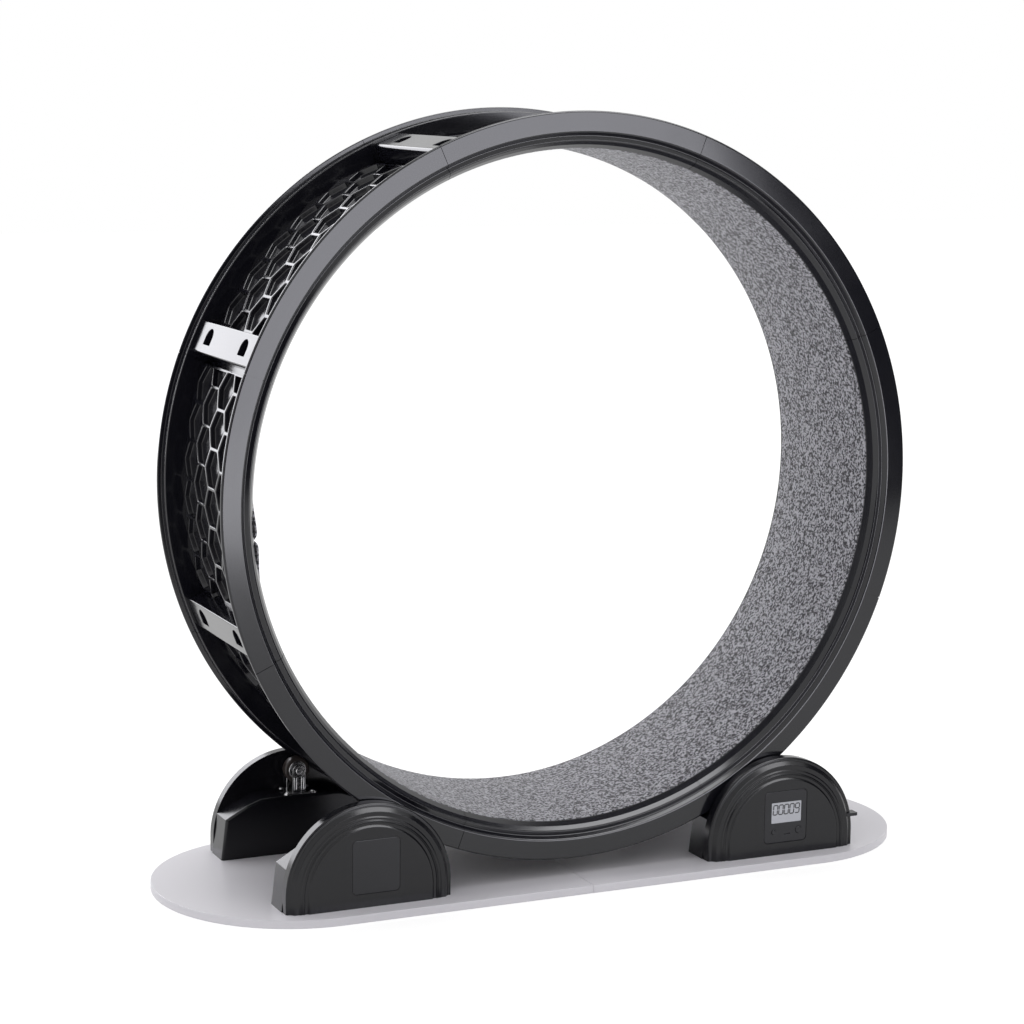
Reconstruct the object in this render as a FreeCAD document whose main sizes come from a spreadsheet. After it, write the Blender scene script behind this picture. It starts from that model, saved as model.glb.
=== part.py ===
import FreeCAD, Part
import math
import os

import Sketcher
from FreeCAD import Placement, Rotation, Vector

# Cat exercise wheel.
#
# A running wheel of eight moulded segments stands on four rollers.  Each roller turns in a pressed
# steel bracket on top of a housing, and the four housings stand on a flat board made in two halves.
#
# Frame: the origin is on the underside of the board at its middle.  +X runs along the board, +Y to
# the rear and +Z up.  The wheel's axis is parallel to Y, over the origin.

# ------------------------------------------------------------------------------------------------
# Driving sizes, in millimetres and degrees
# ------------------------------------------------------------------------------------------------

SIZES = [
    # base board
    ("board_length", 1094, "overall length of the board"),
    ("board_depth", 384, "overall depth of the board"),
    ("board_thickness", 11, "thickness of the board"),
    ("board_joint", 0.4, "gap between the two halves of the board"),
    ("strap_length", 150, "length of a joining strap, across the joint"),
    ("strap_width", 40, "width of a joining strap"),
    ("strap_thickness", 2.5, "thickness of a joining strap"),
    ("strap_offset", 80, "joining strap's middle, from the middle of the board"),
    ("strap_recess", 3, "depth of the pocket that a joining strap lies in"),
    # wheel as a whole
    ("wheel_radius", 500, "radius over the lips"),
    ("wheel_width", 276, "width over the two rims"),
    ("wheel_clearance", 22.8, "lowest point of the wheel above the board"),
    ("segment_count", 8, "segments in the wheel"),
    ("first_seam_angle", 24.5, "angle of the first seam, from +X towards +Z"),
    ("seam_gap", 0.4, "gap between two segments"),
    # rims
    ("rim_width", 21, "width of a rim, from its outer face to its inner wall"),
    ("lip_width", 5.5, "width of the lip that keeps a roller on its track"),
    ("lip_height", 5.5, "height of the lip above the track"),
    ("face_depth", 26, "radial depth of the rim's flat outer face"),
    ("bevel_depth", 13, "radial depth of the bevel inside the flat face"),
    ("bevel_width", 5, "how far the bevel falls back"),
    ("throat_width", 9, "how far the throat between bevel and seat falls back"),
    # drum between the rims
    ("seat_depth", 45.5, "running mat's seat, from the lips towards the axis"),
    ("drum_skin", 2.5, "wall between the seat and the floors of the cells"),
    ("cell_depth", 11, "depth of the honeycomb cells"),
    ("cell_rows", 7, "rows of cells round a segment"),
    ("rib_width", 4.3, "width of the ribs between the cells"),
    ("cell_side_gap", 0.6, "gap between the points of the outer cells and the rims"),
    ("end_wall", 2.5, "wall at each end of a segment"),
    # joint between two segments
    ("joint_distance", 28, "middle of the joint block, back from the seam"),
    ("joint_length", 44, "length of the joint block, along the rim"),
    ("joint_drop", 10.5, "block's flat top, from the lips towards the axis"),
    ("joint_side_gap", 1.5, "gap between the block and the rim at either side"),
    ("joint_bevel", 4, "bevel along the block's edge beside the seam"),
    ("window_offset", 70, "middle of a screw pocket, from the middle of the wheel"),
    ("window_width", 26, "width of a screw pocket"),
    ("window_straight", 9.5, "straight sides of a screw pocket, up to its round end"),
    ("window_flat", 8.9, "flat end of a screw pocket, from the middle of the block"),
    ("window_depth", 15, "depth of a screw pocket"),
    ("window_facets", 6, "flats that make up a screw pocket's round end"),
    ("tongue_reach", 38, "length of the tongue, from the seam"),
    ("tongue_width", 190, "width of the tongue"),
    ("tongue_thickness", 6.6, "thickness of the tongue"),
    ("tongue_rise", 3.8, "tongue's inner face, outwards from the mat's seat"),
    ("tongue_gap", 0.3, "clearance all round the tongue"),
    # running mat
    ("mat_width", 229, "width of the running mat"),
    ("mat_thickness", 2.5, "thickness of the running mat"),
    ("mat_gap", 0.3, "clearance between the mat and its seat"),
    ("mat_joint", 1, "gap between the two ends of the mat"),
    ("mat_joint_angle", 185, "angle of the mat's joint, from +X towards +Z"),
    ("mat_panels", 56, "flats round the mat"),
    # rollers
    ("roller_offset", 307.5, "roller's axis, from the middle of the board"),
    ("roller_radius", 18, "radius of a roller, over its corners"),
    ("roller_flats", 40, "flats that make up a roller's tyre"),
    ("roller_width", 14, "width of a roller"),
    ("roller_gap", 0.3, "clearance between a roller and its track"),
    ("axle_rise", 30.6, "roller's axis above the saddle that its bracket stands on"),
    ("axle_radius", 3, "radius of an axle pin"),
    ("axle_clearance", 0.06, "radial clearance of a roller on its axle pin"),
    # roller brackets
    ("bracket_length", 48, "length of a bracket's plate"),
    ("bracket_width", 36, "width of a bracket's plate"),
    ("bracket_shift", 3.8, "plate's middle, inboard of the roller's middle"),
    ("bracket_gauge", 2.2, "thickness of the bracket's steel"),
    ("fork_opening", 22, "opening between the two legs"),
    ("leg_foot", 20, "width of a leg at its foot"),
    ("leg_head", 18, "width of a leg at its round head"),
    # housings
    ("housing_length", 230, "length of a housing"),
    ("housing_inner", 100, "inner side of a housing, from the middle of the board"),
    ("housing_wheel_gap", 4, "gap between the wheel and the housing's arch"),
    ("arch_centre", 21.5, "height of the arch's centre above the board"),
    ("arch_side", 13, "width of the arch's plain outer band"),
    ("arch_bevel_width", 6, "how far the arch's outer bevel stands forward"),
    ("arch_bevel_depth", 9, "radial depth of the arch's outer bevel"),
    ("arch_ring_width", 4, "how far the arch's inner ring stands forward"),
    ("arch_ring_depth", 16, "radial depth of the arch's inner ring"),
    ("ledge_height", 55.3, "height of the ledge at each end of the saddle"),
    ("ledge_length", 17, "length of the ledge"),
    ("saddle_length", 100, "length of the saddle's flat top"),
    ("ramp_bend_run", 12, "length of the gentle bend at each end of the ramp"),
    ("ramp_bend_rise", 4.5, "rise of the gentle bend at each end of the ramp"),
    # panels in the two front housings
    ("panel_depth", 12, "depth of the pocket behind a panel"),
    ("panel_gap", 0.3, "gap round a panel"),
    ("panel_corner", 4, "bevel at a panel's corners"),
    ("blank_width", 66, "width of the blank panel"),
    ("blank_height", 72, "height of the blank panel"),
    ("blank_shift", 6, "blank panel's middle, from its housing's middle"),
    ("blank_level", 54.3, "blank panel's middle, above the board"),
    ("counter_width", 67, "width of the counter"),
    ("counter_height", 73.5, "height of the counter"),
    ("counter_shift", 2, "counter's middle, from its housing's middle"),
    ("counter_level", 54.3, "counter's middle, above the board"),
    ("counter_wall", 2, "wall of the counter's case"),
    ("display_width", 47, "width of the counter's display"),
    ("display_height", 29, "height of the counter's display"),
    ("display_shift", 1.3, "display's middle, from the counter's middle"),
    ("display_level", 6, "display's middle, above the counter's middle"),
    ("display_inset", 0.5, "how far the display lies behind the counter's face"),
    ("circuit_inset", 7, "circuit board's front, behind the counter's face"),
    ("circuit_thickness", 1.6, "thickness of the circuit board"),
    ("button_level", -21, "buttons' middle, from the counter's middle"),
    ("mode_radius", 3.5, "radius of the mode button"),
    ("mode_shift", -18.6, "mode button, from the counter's middle"),
    ("reset_radius", 5, "radius of the reset button"),
    ("reset_shift", 21.2, "reset button, from the counter's middle"),
    ("button_rise", 1, "how far a button stands out of the counter's face"),
    ("button_length", 7, "length of a button"),
    ("button_clearance", 0.15, "radial clearance of a button in its hole"),
    ("slot_length", 9, "length of the small slot between the buttons"),
    ("slot_height", 1.6, "height of the small slot"),
    ("slot_shift", 2.8, "middle of the small slot, from the counter's middle"),
    ("slot_level", -25, "middle of the small slot, from the counter's middle"),
    # lap sensor
    ("magnet_length", 12, "length of the magnet on the rim"),
    ("magnet_height", 8, "radial height of the magnet"),
    ("magnet_thickness", 3, "thickness of the magnet"),
    ("magnet_inset", 19, "magnet's middle, from the lips towards the axis"),
    ("sensor_length", 18, "length of the lap sensor"),
    ("sensor_height", 5, "height of the lap sensor"),
    ("sensor_depth", 5, "depth of the lap sensor in its housing"),
    ("sensor_shift", -58, "lap sensor, from its housing's middle"),
    ("sensor_level", 98, "lap sensor, above the board"),
    ("sensor_gap", 0.3, "clearance round the lap sensor"),
    # lock slide
    ("lock_length", 60, "length of the lock slide"),
    ("lock_width", 15, "width of the lock slide"),
    ("lock_thickness", 4.4, "thickness of the lock slide"),
    ("lock_level", 43.8, "lock slide's middle, above the board"),
    ("lock_reach", 6.5, "how far the lock slide stands out past its housing"),
    ("lock_travel", 6, "travel of the lock slide"),
    ("lock_back", 3.5, "lock slide's inner side, from the arch's inner face"),
    ("lock_gap", 0.3, "clearance round the lock slide"),
]

doc = FreeCAD.newDocument("CatExerciseWheel")
sheet = doc.addObject("Spreadsheet::Sheet", "sizes")
for row, (alias, value, meaning) in enumerate(SIZES, start=1):
    sheet.set(f"A{row}", meaning)
    sheet.set(f"B{row}", str(value))
    sheet.setAlias(f"B{row}", alias)
doc.recompute()

# Sizes that follow from the driving ones, as expressions on the sheet
AXIS_HEIGHT = "(sizes.board_thickness + sizes.wheel_clearance + sizes.wheel_radius)"
TRACK_RADIUS = "(sizes.wheel_radius - sizes.lip_height)"
WHEEL_FACE = "(sizes.wheel_width / 2)"
SEAT_RADIUS = "(sizes.wheel_radius - sizes.seat_depth)"
CELL_FLOOR = f"({SEAT_RADIUS} + sizes.drum_skin)"
CREST_RADIUS = f"({CELL_FLOOR} + sizes.cell_depth)"
JOINT_RADIUS = "(sizes.wheel_radius - sizes.joint_drop)"
RIM_WALL = f"({WHEEL_FACE} - sizes.rim_width)"
HALF_BOARD = "(sizes.board_length / 2)"

ROLLER_MIDDLE = f"({WHEEL_FACE} - sizes.lip_width - 0.5 * (sizes.rim_width - sizes.lip_width))"
ROLLER_DISTANCE = f"({TRACK_RADIUS} + sizes.roller_radius + sizes.roller_gap)"
ROLLER_DROP = f"sqrt({ROLLER_DISTANCE} ^ 2 - sizes.roller_offset ^ 2)"
ROLLER_HEIGHT = f"({AXIS_HEIGHT} - {ROLLER_DROP})"

ARCH_INNER = f"({WHEEL_FACE} + sizes.housing_wheel_gap)"
ARCH_RADIUS = "(sizes.housing_length / 2)"
ARCH_BAND = f"({ARCH_INNER} + sizes.arch_side)"
ARCH_STEP = f"({ARCH_BAND} + sizes.arch_bevel_width)"
ARCH_FRONT = f"({ARCH_STEP} + sizes.arch_ring_width)"

# A housing's saddle is as high as it takes to bring the roller up to its track
SADDLE_TOP = f"({ROLLER_HEIGHT} - sizes.axle_rise)"
SADDLE_HEIGHT = f"({SADDLE_TOP} - sizes.board_thickness)"


def number(expression):
    """Value of an expression on the sheet."""
    return float(sheet.evalExpression(expression))


def size(alias):
    """Value of one driving size."""
    return float(sheet.get(alias))


# ------------------------------------------------------------------------------------------------
# Drawing helpers
# ------------------------------------------------------------------------------------------------

sub_parts = []


def keep(thing, name, middle=("0", "0", "0"), turned=0):
    """Name a sub-part and place it: middle as three expressions, turned in degrees about Z."""
    thing.Label = name
    thing.Placement = Placement(Vector(), Rotation(Vector(0, 0, 1), turned))
    for axis, amount in zip("xyz", middle):
        thing.setExpression(f"Placement.Base.{axis}", amount)
    sub_parts.append(thing)
    return thing


def new_sketch(body, plane, shift=("0", "0", "0")):
    """Sketch on one of the body's own planes, shifted across, up and off it by expressions."""
    sketch = body.newObject("Sketcher::SketchObject", f"{body.Name}_sketch")
    origin_plane = next(item for item in body.Origin.OriginFeatures if item.Role == plane)
    sketch.AttachmentSupport = [(origin_plane, "")]
    sketch.MapMode = "FlatFace"
    for axis, amount in zip("xyz", shift):
        sketch.setExpression(f"AttachmentOffset.Base.{axis}", amount)
    return sketch


def constrain(sketch, kind, elements, amount):
    """Add a dimension that follows an expression."""
    index = sketch.addConstraint(Sketcher.Constraint(kind, *elements, number(amount)))
    sketch.setExpression(f"Constraints[{index}]", amount)


def draw_polygon(sketch, corners):
    """Closed outline through corners, each a pair of expressions from the sketch's origin."""
    points = [Vector(number(across), number(up), 0) for across, up in corners]
    first = sketch.GeometryCount
    for start, end in zip(points, points[1:] + points[:1]):
        sketch.addGeometry(Part.LineSegment(start, end))
    for index, (across, up) in enumerate(corners):
        before = first + (index - 1) % len(corners)
        sketch.addConstraint(Sketcher.Constraint("Coincident", before, 2, first + index, 1))
        constrain(sketch, "DistanceX", (-1, 1, first + index, 1), across)
        constrain(sketch, "DistanceY", (-1, 1, first + index, 1), up)


def draw_box(sketch, middle, width, height):
    """Rectangle about its middle."""
    across, up = middle
    draw_polygon(sketch, [(f"{across} {x} {width} / 2", f"{up} {y} {height} / 2")
                          for x, y in ("--", "+-", "++", "-+")])


def draw_circle(sketch, middle, radius):
    """Circle about its middle."""
    point = Vector(number(middle[0]), number(middle[1]), 0)
    circle = sketch.addGeometry(Part.Circle(point, Vector(0, 0, 1), number(radius)))
    constrain(sketch, "DistanceX", (-1, 1, circle, 3), middle[0])
    constrain(sketch, "DistanceY", (-1, 1, circle, 3), middle[1])
    constrain(sketch, "Radius", (circle,), radius)


def extrude(body, kind, sketch, length, reverse=False):
    """Pad or pocket of a sketch."""
    feature = body.newObject(f"PartDesign::{kind}", f"{body.Name}_{kind.lower()}")
    feature.Profile = sketch
    feature.Reversed = reverse
    feature.setExpression("Length", length)
    doc.recompute()
    return feature


def pad_polygon(body, plane, shift, corners, length):
    """Polygon raised off its plane."""
    sketch = new_sketch(body, plane, shift)
    draw_polygon(sketch, corners)
    return extrude(body, "Pad", sketch, length)


def cut_box(body, plane, shift, middle, width, height, depth):
    """Rectangular pocket, cut from a plane back against its normal."""
    sketch = new_sketch(body, plane, shift)
    draw_box(sketch, middle, width, height)
    return extrude(body, "Pocket", sketch, depth)


def cut_circle(body, plane, shift, middle, radius, depth):
    """Round pocket, cut from a plane back against its normal."""
    sketch = new_sketch(body, plane, shift)
    draw_circle(sketch, middle, radius)
    return extrude(body, "Pocket", sketch, depth)


def primitive(kind, name, **expressions):
    """Part primitive whose properties follow expressions."""
    solid = doc.addObject(f"Part::{kind}", name)
    for key, amount in expressions.items():
        solid.setExpression(key, amount)
    return solid


def place_along_y(thing, middle):
    """Turn a primitive's own axis to +Y and start it at a point given as expressions."""
    thing.Placement = Placement(Vector(), Rotation(Vector(1, 0, 0), -90))
    for axis, amount in zip("xyz", middle):
        thing.setExpression(f"Placement.Base.{axis}", amount)


# ------------------------------------------------------------------------------------------------
# Base board
# ------------------------------------------------------------------------------------------------

def board_half(name, side):
    """Half of the board: a rectangle with a round end, and pockets beneath for the straps."""
    body = doc.addObject("PartDesign::Body", name)
    joint = f"{side} * sizes.board_joint / 2"
    round_middle = f"{side} * ({HALF_BOARD} - sizes.board_depth / 2)"
    half_depth = "sizes.board_depth / 2"
    pad_polygon(body, "XY_Plane", ("0", "0", "0"),
                [(joint, f"-{half_depth}"), (round_middle, f"-{half_depth}"),
                 (round_middle, half_depth), (joint, half_depth)], "sizes.board_thickness")
    sketch = new_sketch(body, "XY_Plane")
    draw_circle(sketch, (round_middle, "0"), half_depth)
    extrude(body, "Pad", sketch, "sizes.board_thickness")
    for row in (-1, 1):
        cut_box(body, "XY_Plane", ("0", "0", "sizes.strap_recess"),
                ("0", f"{row} * sizes.strap_offset"),
                "(sizes.strap_length + 2 * sizes.panel_gap)",
                "(sizes.strap_width + 2 * sizes.panel_gap)", "sizes.strap_recess")
    return keep(body, name)


def joining_straps():
    """Two flat straps that join the halves of the board from beneath."""
    straps = []
    for row in (-1, 1):
        strap = primitive("Box", "strap", Length="sizes.strap_length", Width="sizes.strap_width",
                          Height="sizes.strap_thickness")
        strap.setExpression("Placement.Base.x", "-sizes.strap_length / 2")
        strap.setExpression("Placement.Base.y",
                            f"{row} * sizes.strap_offset - sizes.strap_width / 2")
        strap.setExpression("Placement.Base.z", "sizes.strap_recess - sizes.strap_thickness")
        straps.append(strap)
    pair = doc.addObject("Part::Compound", "joining_straps")
    pair.Links = straps
    return keep(pair, "joining_straps")


board_half("base_board_left", -1)
board_half("base_board_right", 1)
joining_straps()


# ------------------------------------------------------------------------------------------------
# Housings
# ------------------------------------------------------------------------------------------------

def arch_steps():
    """The arch's outline from back to front, as pairs of radius and distance from the wheel's
    middle plane: a plain outer band, a steep bevel and a flatter ring up to the flat face."""
    bevel = f"({ARCH_RADIUS} - sizes.arch_bevel_depth)"
    ring = f"({bevel} - sizes.arch_ring_depth)"
    return [(ARCH_RADIUS, ARCH_INNER), (ARCH_RADIUS, ARCH_BAND), (bevel, ARCH_STEP),
            (ring, ARCH_FRONT)]


def saddle_outline():
    """Inner block seen from the front: ledges at the ends and ramps up to a flat top."""
    ledge = f"({ARCH_RADIUS} - sizes.ledge_length)"
    top = "(sizes.saddle_length / 2)"
    right = [(ARCH_RADIUS, "0"), (ARCH_RADIUS, "sizes.ledge_height"),
             (ledge, "sizes.ledge_height"),
             (f"({ledge} - sizes.ramp_bend_run)", "(sizes.ledge_height + sizes.ramp_bend_rise)"),
             (f"({top} + sizes.ramp_bend_run)", f"({SADDLE_HEIGHT} - sizes.ramp_bend_rise)"),
             (top, SADDLE_HEIGHT)]
    left = [(f"-{across}", up) for across, up in reversed(right)]
    return right + left


def housing(name, side, end):
    """One moulded housing, drawn at the front and turned round for the rear: a saddle-topped
    block under the roller's bracket and a half-round stepped arch on its outer side."""
    body = doc.addObject("PartDesign::Body", name)
    pad_polygon(body, "XZ_Plane", ("0", "0", "sizes.housing_inner"), saddle_outline(),
                f"{ARCH_INNER} - sizes.housing_inner")

    steps = arch_steps()
    right = [(radius, f"-{distance}") for radius, distance in steps]
    left = [(f"-{radius}", f"-{distance}") for radius, distance in reversed(steps)]
    pad_polygon(body, "XY_Plane", ("0", "0", "0"), right + left, "sizes.arch_centre")

    half = new_sketch(body, "XY_Plane", ("0", "0", "sizes.arch_centre"))
    draw_polygon(half, [("0", f"-{ARCH_INNER}")] + right + [("0", f"-{ARCH_FRONT}")])
    arch = body.newObject("PartDesign::Revolution", f"{name}_arch")
    arch.Profile = half
    arch.ReferenceAxis = (half, ["V_Axis"])
    arch.Angle = 180
    arch.Reversed = True
    doc.recompute()
    turned = 0 if side < 0 else 180
    return keep(body, name, (f"{end} * sizes.roller_offset", "0", "sizes.board_thickness"), turned)


def draw_panel(sketch, middle, width, height, bevel):
    """Rectangle about its middle with bevelled corners."""
    across, up = middle
    corners = []
    for x, y, level_first in (("-", "-", False), ("+", "-", True), ("+", "+", False),
                              ("-", "+", True)):
        inward = {"-": "+", "+": "-"}
        level = (f"{across} {x} {width} / 2 {inward[x]} {bevel}", f"{up} {y} {height} / 2")
        upright = (f"{across} {x} {width} / 2", f"{up} {y} {height} / 2 {inward[y]} {bevel}")
        corners += [level, upright] if level_first else [upright, level]
    draw_polygon(sketch, corners)


def panel_pocket(body, shift, level, width, height):
    """Pocket for a panel in the arch's flat face."""
    sketch = new_sketch(body, "XZ_Plane", ("0", "0", ARCH_FRONT))
    draw_panel(sketch, (shift, level), f"({width} + 2 * sizes.panel_gap)",
               f"({height} + 2 * sizes.panel_gap)", "sizes.panel_corner")
    extrude(body, "Pocket", sketch, "sizes.panel_depth")


def lock_channel(body):
    """Channel that the lock slide runs in, open at the housing's right end."""
    gap = "sizes.lock_gap"
    cut_box(body, "YZ_Plane", ("0", "0", f"{ARCH_RADIUS} + {gap}"),
            (f"-({ARCH_INNER} + sizes.lock_back + sizes.lock_width / 2)", "sizes.lock_level"),
            f"(sizes.lock_width + 2 * {gap})", f"(sizes.lock_thickness + 2 * {gap})",
            f"sizes.lock_length + sizes.lock_travel - sizes.lock_reach + 2 * {gap}")


def sensor_pocket(body):
    """Pocket for the lap sensor, open towards the wheel's rim."""
    gap = "sizes.sensor_gap"
    sketch = new_sketch(body, "XZ_Plane", ("0", "0", ARCH_INNER))
    draw_box(sketch, ("sizes.sensor_shift", "sizes.sensor_level"),
             f"(sizes.sensor_length + 2 * {gap})", f"(sizes.sensor_height + 2 * {gap})")
    extrude(body, "Pocket", sketch, f"sizes.sensor_depth + {gap}", reverse=True)


front_left = housing("housing_front_left", -1, -1)
panel_pocket(front_left, "sizes.blank_shift", "sizes.blank_level",
             "sizes.blank_width", "sizes.blank_height")
front_right = housing("housing_front_right", -1, 1)
panel_pocket(front_right, "sizes.counter_shift", "sizes.counter_level",
             "sizes.counter_width", "sizes.counter_height")
lock_channel(front_right)
sensor_pocket(front_right)
housing("housing_rear_left", 1, -1)
housing("housing_rear_right", 1, 1)


# ------------------------------------------------------------------------------------------------
# Panels, counter, lap sensor and lock slide
# ------------------------------------------------------------------------------------------------

FRONT_LEFT = ("-sizes.roller_offset", "0", "sizes.board_thickness")
FRONT_RIGHT = ("sizes.roller_offset", "0", "sizes.board_thickness")
FACE = ("0", "0", ARCH_FRONT)


def panel(name, shift, level, width, height):
    """Panel with bevelled corners, its face flush with the arch's flat face."""
    body = doc.addObject("PartDesign::Body", name)
    sketch = new_sketch(body, "XZ_Plane", ("0", "0", f"{ARCH_FRONT} - sizes.panel_depth"))
    draw_panel(sketch, (shift, level), width, height, "sizes.panel_corner")
    extrude(body, "Pad", sketch, "sizes.panel_depth")
    return body


def from_counter(across, up):
    """Point given from the counter's middle, as a point of its housing."""
    return (f"(sizes.counter_shift + {across})", f"(sizes.counter_level + {up})")


def counter_case():
    """The counter's case: open at the back, with a window, two button holes and a slot."""
    body = panel("counter_case", "sizes.counter_shift", "sizes.counter_level",
                 "sizes.counter_width", "sizes.counter_height")
    hollow = new_sketch(body, "XZ_Plane", ("0", "0", f"{ARCH_FRONT} - sizes.counter_wall"))
    draw_box(hollow, ("sizes.counter_shift", "sizes.counter_level"),
             "(sizes.counter_width - 2 * sizes.counter_wall)",
             "(sizes.counter_height - 2 * sizes.counter_wall)")
    extrude(body, "Pocket", hollow, "sizes.panel_depth")
    cut_box(body, "XZ_Plane", FACE, from_counter("sizes.display_shift", "sizes.display_level"),
            "(sizes.display_width + 2 * sizes.panel_gap)",
            "(sizes.display_height + 2 * sizes.panel_gap)", "2 * sizes.counter_wall")
    cut_box(body, "XZ_Plane", FACE, from_counter("sizes.slot_shift", "sizes.slot_level"),
            "sizes.slot_length", "sizes.slot_height", "2 * sizes.counter_wall")
    for radius, shift in (("mode_radius", "mode_shift"), ("reset_radius", "reset_shift")):
        cut_circle(body, "XZ_Plane", FACE, from_counter(f"sizes.{shift}", "sizes.button_level"),
                   f"(sizes.{radius} + sizes.button_clearance)", "2 * sizes.counter_wall")
    return keep(body, "counter_case", FRONT_RIGHT)


def block_behind_face(name, middle, width, height, inset, depth):
    """Box behind the arch's flat face: its front inset from the face, its depth to the rear."""
    body = doc.addObject("PartDesign::Body", name)
    sketch = new_sketch(body, "XZ_Plane", ("0", "0", f"{ARCH_FRONT} - {inset} - {depth}"))
    draw_box(sketch, middle, width, height)
    extrude(body, "Pad", sketch, depth)
    return keep(body, name, FRONT_RIGHT)


def counter_button(name, radius, shift):
    """Round button that stands out of the counter's face."""
    body = doc.addObject("PartDesign::Body", name)
    sketch = new_sketch(body, "XZ_Plane",
                        ("0", "0", f"{ARCH_FRONT} + sizes.button_rise - sizes.button_length"))
    draw_circle(sketch, from_counter(shift, "sizes.button_level"), radius)
    extrude(body, "Pad", sketch, "sizes.button_length")
    return keep(body, name, FRONT_RIGHT)


def lap_sensor():
    """Sensor in the arch's inner side that the magnet on the rim passes."""
    body = doc.addObject("PartDesign::Body", "lap_sensor")
    sketch = new_sketch(body, "XZ_Plane", ("0", "0", ARCH_INNER))
    draw_box(sketch, ("sizes.sensor_shift", "sizes.sensor_level"),
             "sizes.sensor_length", "sizes.sensor_height")
    extrude(body, "Pad", sketch, "sizes.sensor_depth")
    return keep(body, "lap_sensor", FRONT_RIGHT)


def lock_slide():
    """Flat slide whose end stands out of the housing, pushed in along -X to lock."""
    body = doc.addObject("PartDesign::Body", "lock_slide")
    sketch = new_sketch(body, "YZ_Plane",
                        ("0", "0", f"{ARCH_RADIUS} + sizes.lock_reach - sizes.lock_length"))
    draw_box(sketch, (f"-({ARCH_INNER} + sizes.lock_back + sizes.lock_width / 2)",
                      "sizes.lock_level"), "sizes.lock_width", "sizes.lock_thickness")
    extrude(body, "Pad", sketch, "sizes.lock_length")
    return keep(body, "lock_slide", FRONT_RIGHT)


blank = panel("blank_panel", "sizes.blank_shift", "sizes.blank_level",
              "sizes.blank_width", "sizes.blank_height")
keep(blank, "blank_panel", FRONT_LEFT)
counter_case()
block_behind_face("counter_display", from_counter("sizes.display_shift", "sizes.display_level"),
                  "sizes.display_width", "sizes.display_height", "sizes.display_inset",
                  "(sizes.circuit_inset - sizes.display_inset)")
block_behind_face("counter_circuit", from_counter("0", "0"),
                  "(sizes.counter_width - 2 * sizes.counter_wall - 2 * sizes.panel_gap)",
                  "(sizes.counter_height - 2 * sizes.counter_wall - 2 * sizes.panel_gap)",
                  "sizes.circuit_inset", "sizes.circuit_thickness")
counter_button("mode_button", "sizes.mode_radius", "sizes.mode_shift")
counter_button("reset_button", "sizes.reset_radius", "sizes.reset_shift")
lap_sensor()
lock_slide()


# ------------------------------------------------------------------------------------------------
# Roller brackets, axle pins and rollers
# ------------------------------------------------------------------------------------------------

CORNERS = {"front_left": (-1, -1), "front_right": (1, -1),
           "rear_left": (-1, 1), "rear_right": (1, 1)}


def roller_bracket(end, side):
    """Pressed bracket: a plate on the saddle and two legs that taper to round heads, with the
    axle pin riveted through them."""
    body = doc.addObject("PartDesign::Body", "bracket")
    gauge = "sizes.bracket_gauge"
    plate = new_sketch(body, "XY_Plane")
    draw_box(plate, ("0", f"-({ROLLER_MIDDLE} - sizes.bracket_shift)"),
             "sizes.bracket_length", "sizes.bracket_width")
    extrude(body, "Pad", plate, gauge)
    inner = f"({ROLLER_MIDDLE} - sizes.fork_opening / 2 - {gauge})"
    outer = f"({ROLLER_MIDDLE} + sizes.fork_opening / 2)"
    for back in (inner, outer):
        pad_polygon(body, "XZ_Plane", ("0", "0", back),
                    [("-sizes.leg_foot / 2", "0"), ("sizes.leg_foot / 2", "0"),
                     ("sizes.leg_head / 2", "sizes.axle_rise"),
                     ("-sizes.leg_head / 2", "sizes.axle_rise")], gauge)
        pad_circle(body, back, "sizes.leg_head / 2", gauge)
    pad_circle(body, inner, "sizes.axle_radius", f"(sizes.fork_opening + 2 * {gauge})")
    body.Placement = Placement(Vector(), Rotation(Vector(0, 0, 1), 0 if side < 0 else 180))
    body.setExpression("Placement.Base.x", f"{end} * sizes.roller_offset")
    body.setExpression("Placement.Base.z", SADDLE_TOP)
    return body


def pad_circle(body, back, radius, length):
    """Round pad about the axle, its back at a distance from the wheel's middle plane."""
    sketch = new_sketch(body, "XZ_Plane", ("0", "0", back))
    draw_circle(sketch, ("0", "sizes.axle_rise"), radius)
    return extrude(body, "Pad", sketch, length)


def roller(name, end, side):
    """Roller with its bore, centred on the track inside the rim's lip."""
    rim = primitive("Prism", f"{name}_rim", Circumradius="sizes.roller_radius",
                    Height="sizes.roller_width", Polygon="sizes.roller_flats")
    bore = primitive("Cylinder", f"{name}_bore", Radius="sizes.axle_radius + sizes.axle_clearance",
                     Height="sizes.roller_width")
    for solid in (rim, bore):
        place_along_y(solid, ("0", "-sizes.roller_width / 2", "0"))
    cut = doc.addObject("Part::Cut", name)
    cut.Base = rim
    cut.Tool = bore
    return keep(cut, name, (f"{end} * sizes.roller_offset", f"{side} * {ROLLER_MIDDLE}",
                            ROLLER_HEIGHT))


brackets = doc.addObject("Part::Compound", "roller_brackets")
brackets.Links = [roller_bracket(end, side) for end, side in CORNERS.values()]
keep(brackets, "roller_brackets")
for corner, (end, side) in CORNERS.items():
    roller(f"roller_{corner}", end, side)


# ------------------------------------------------------------------------------------------------
# Wheel
# ------------------------------------------------------------------------------------------------

AXIS = Vector(0, -1, 0)
SEGMENT_ANGLE = 360 / size("segment_count")
HALF_SEAM = math.degrees(size("seam_gap") / 2 / number(TRACK_RADIUS))
END_WALL_ANGLE = math.degrees(size("end_wall") / number(CREST_RADIUS))
ROW_ANGLE = (SEGMENT_ANGLE - 2 * END_WALL_ANGLE) / size("cell_rows")

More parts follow.
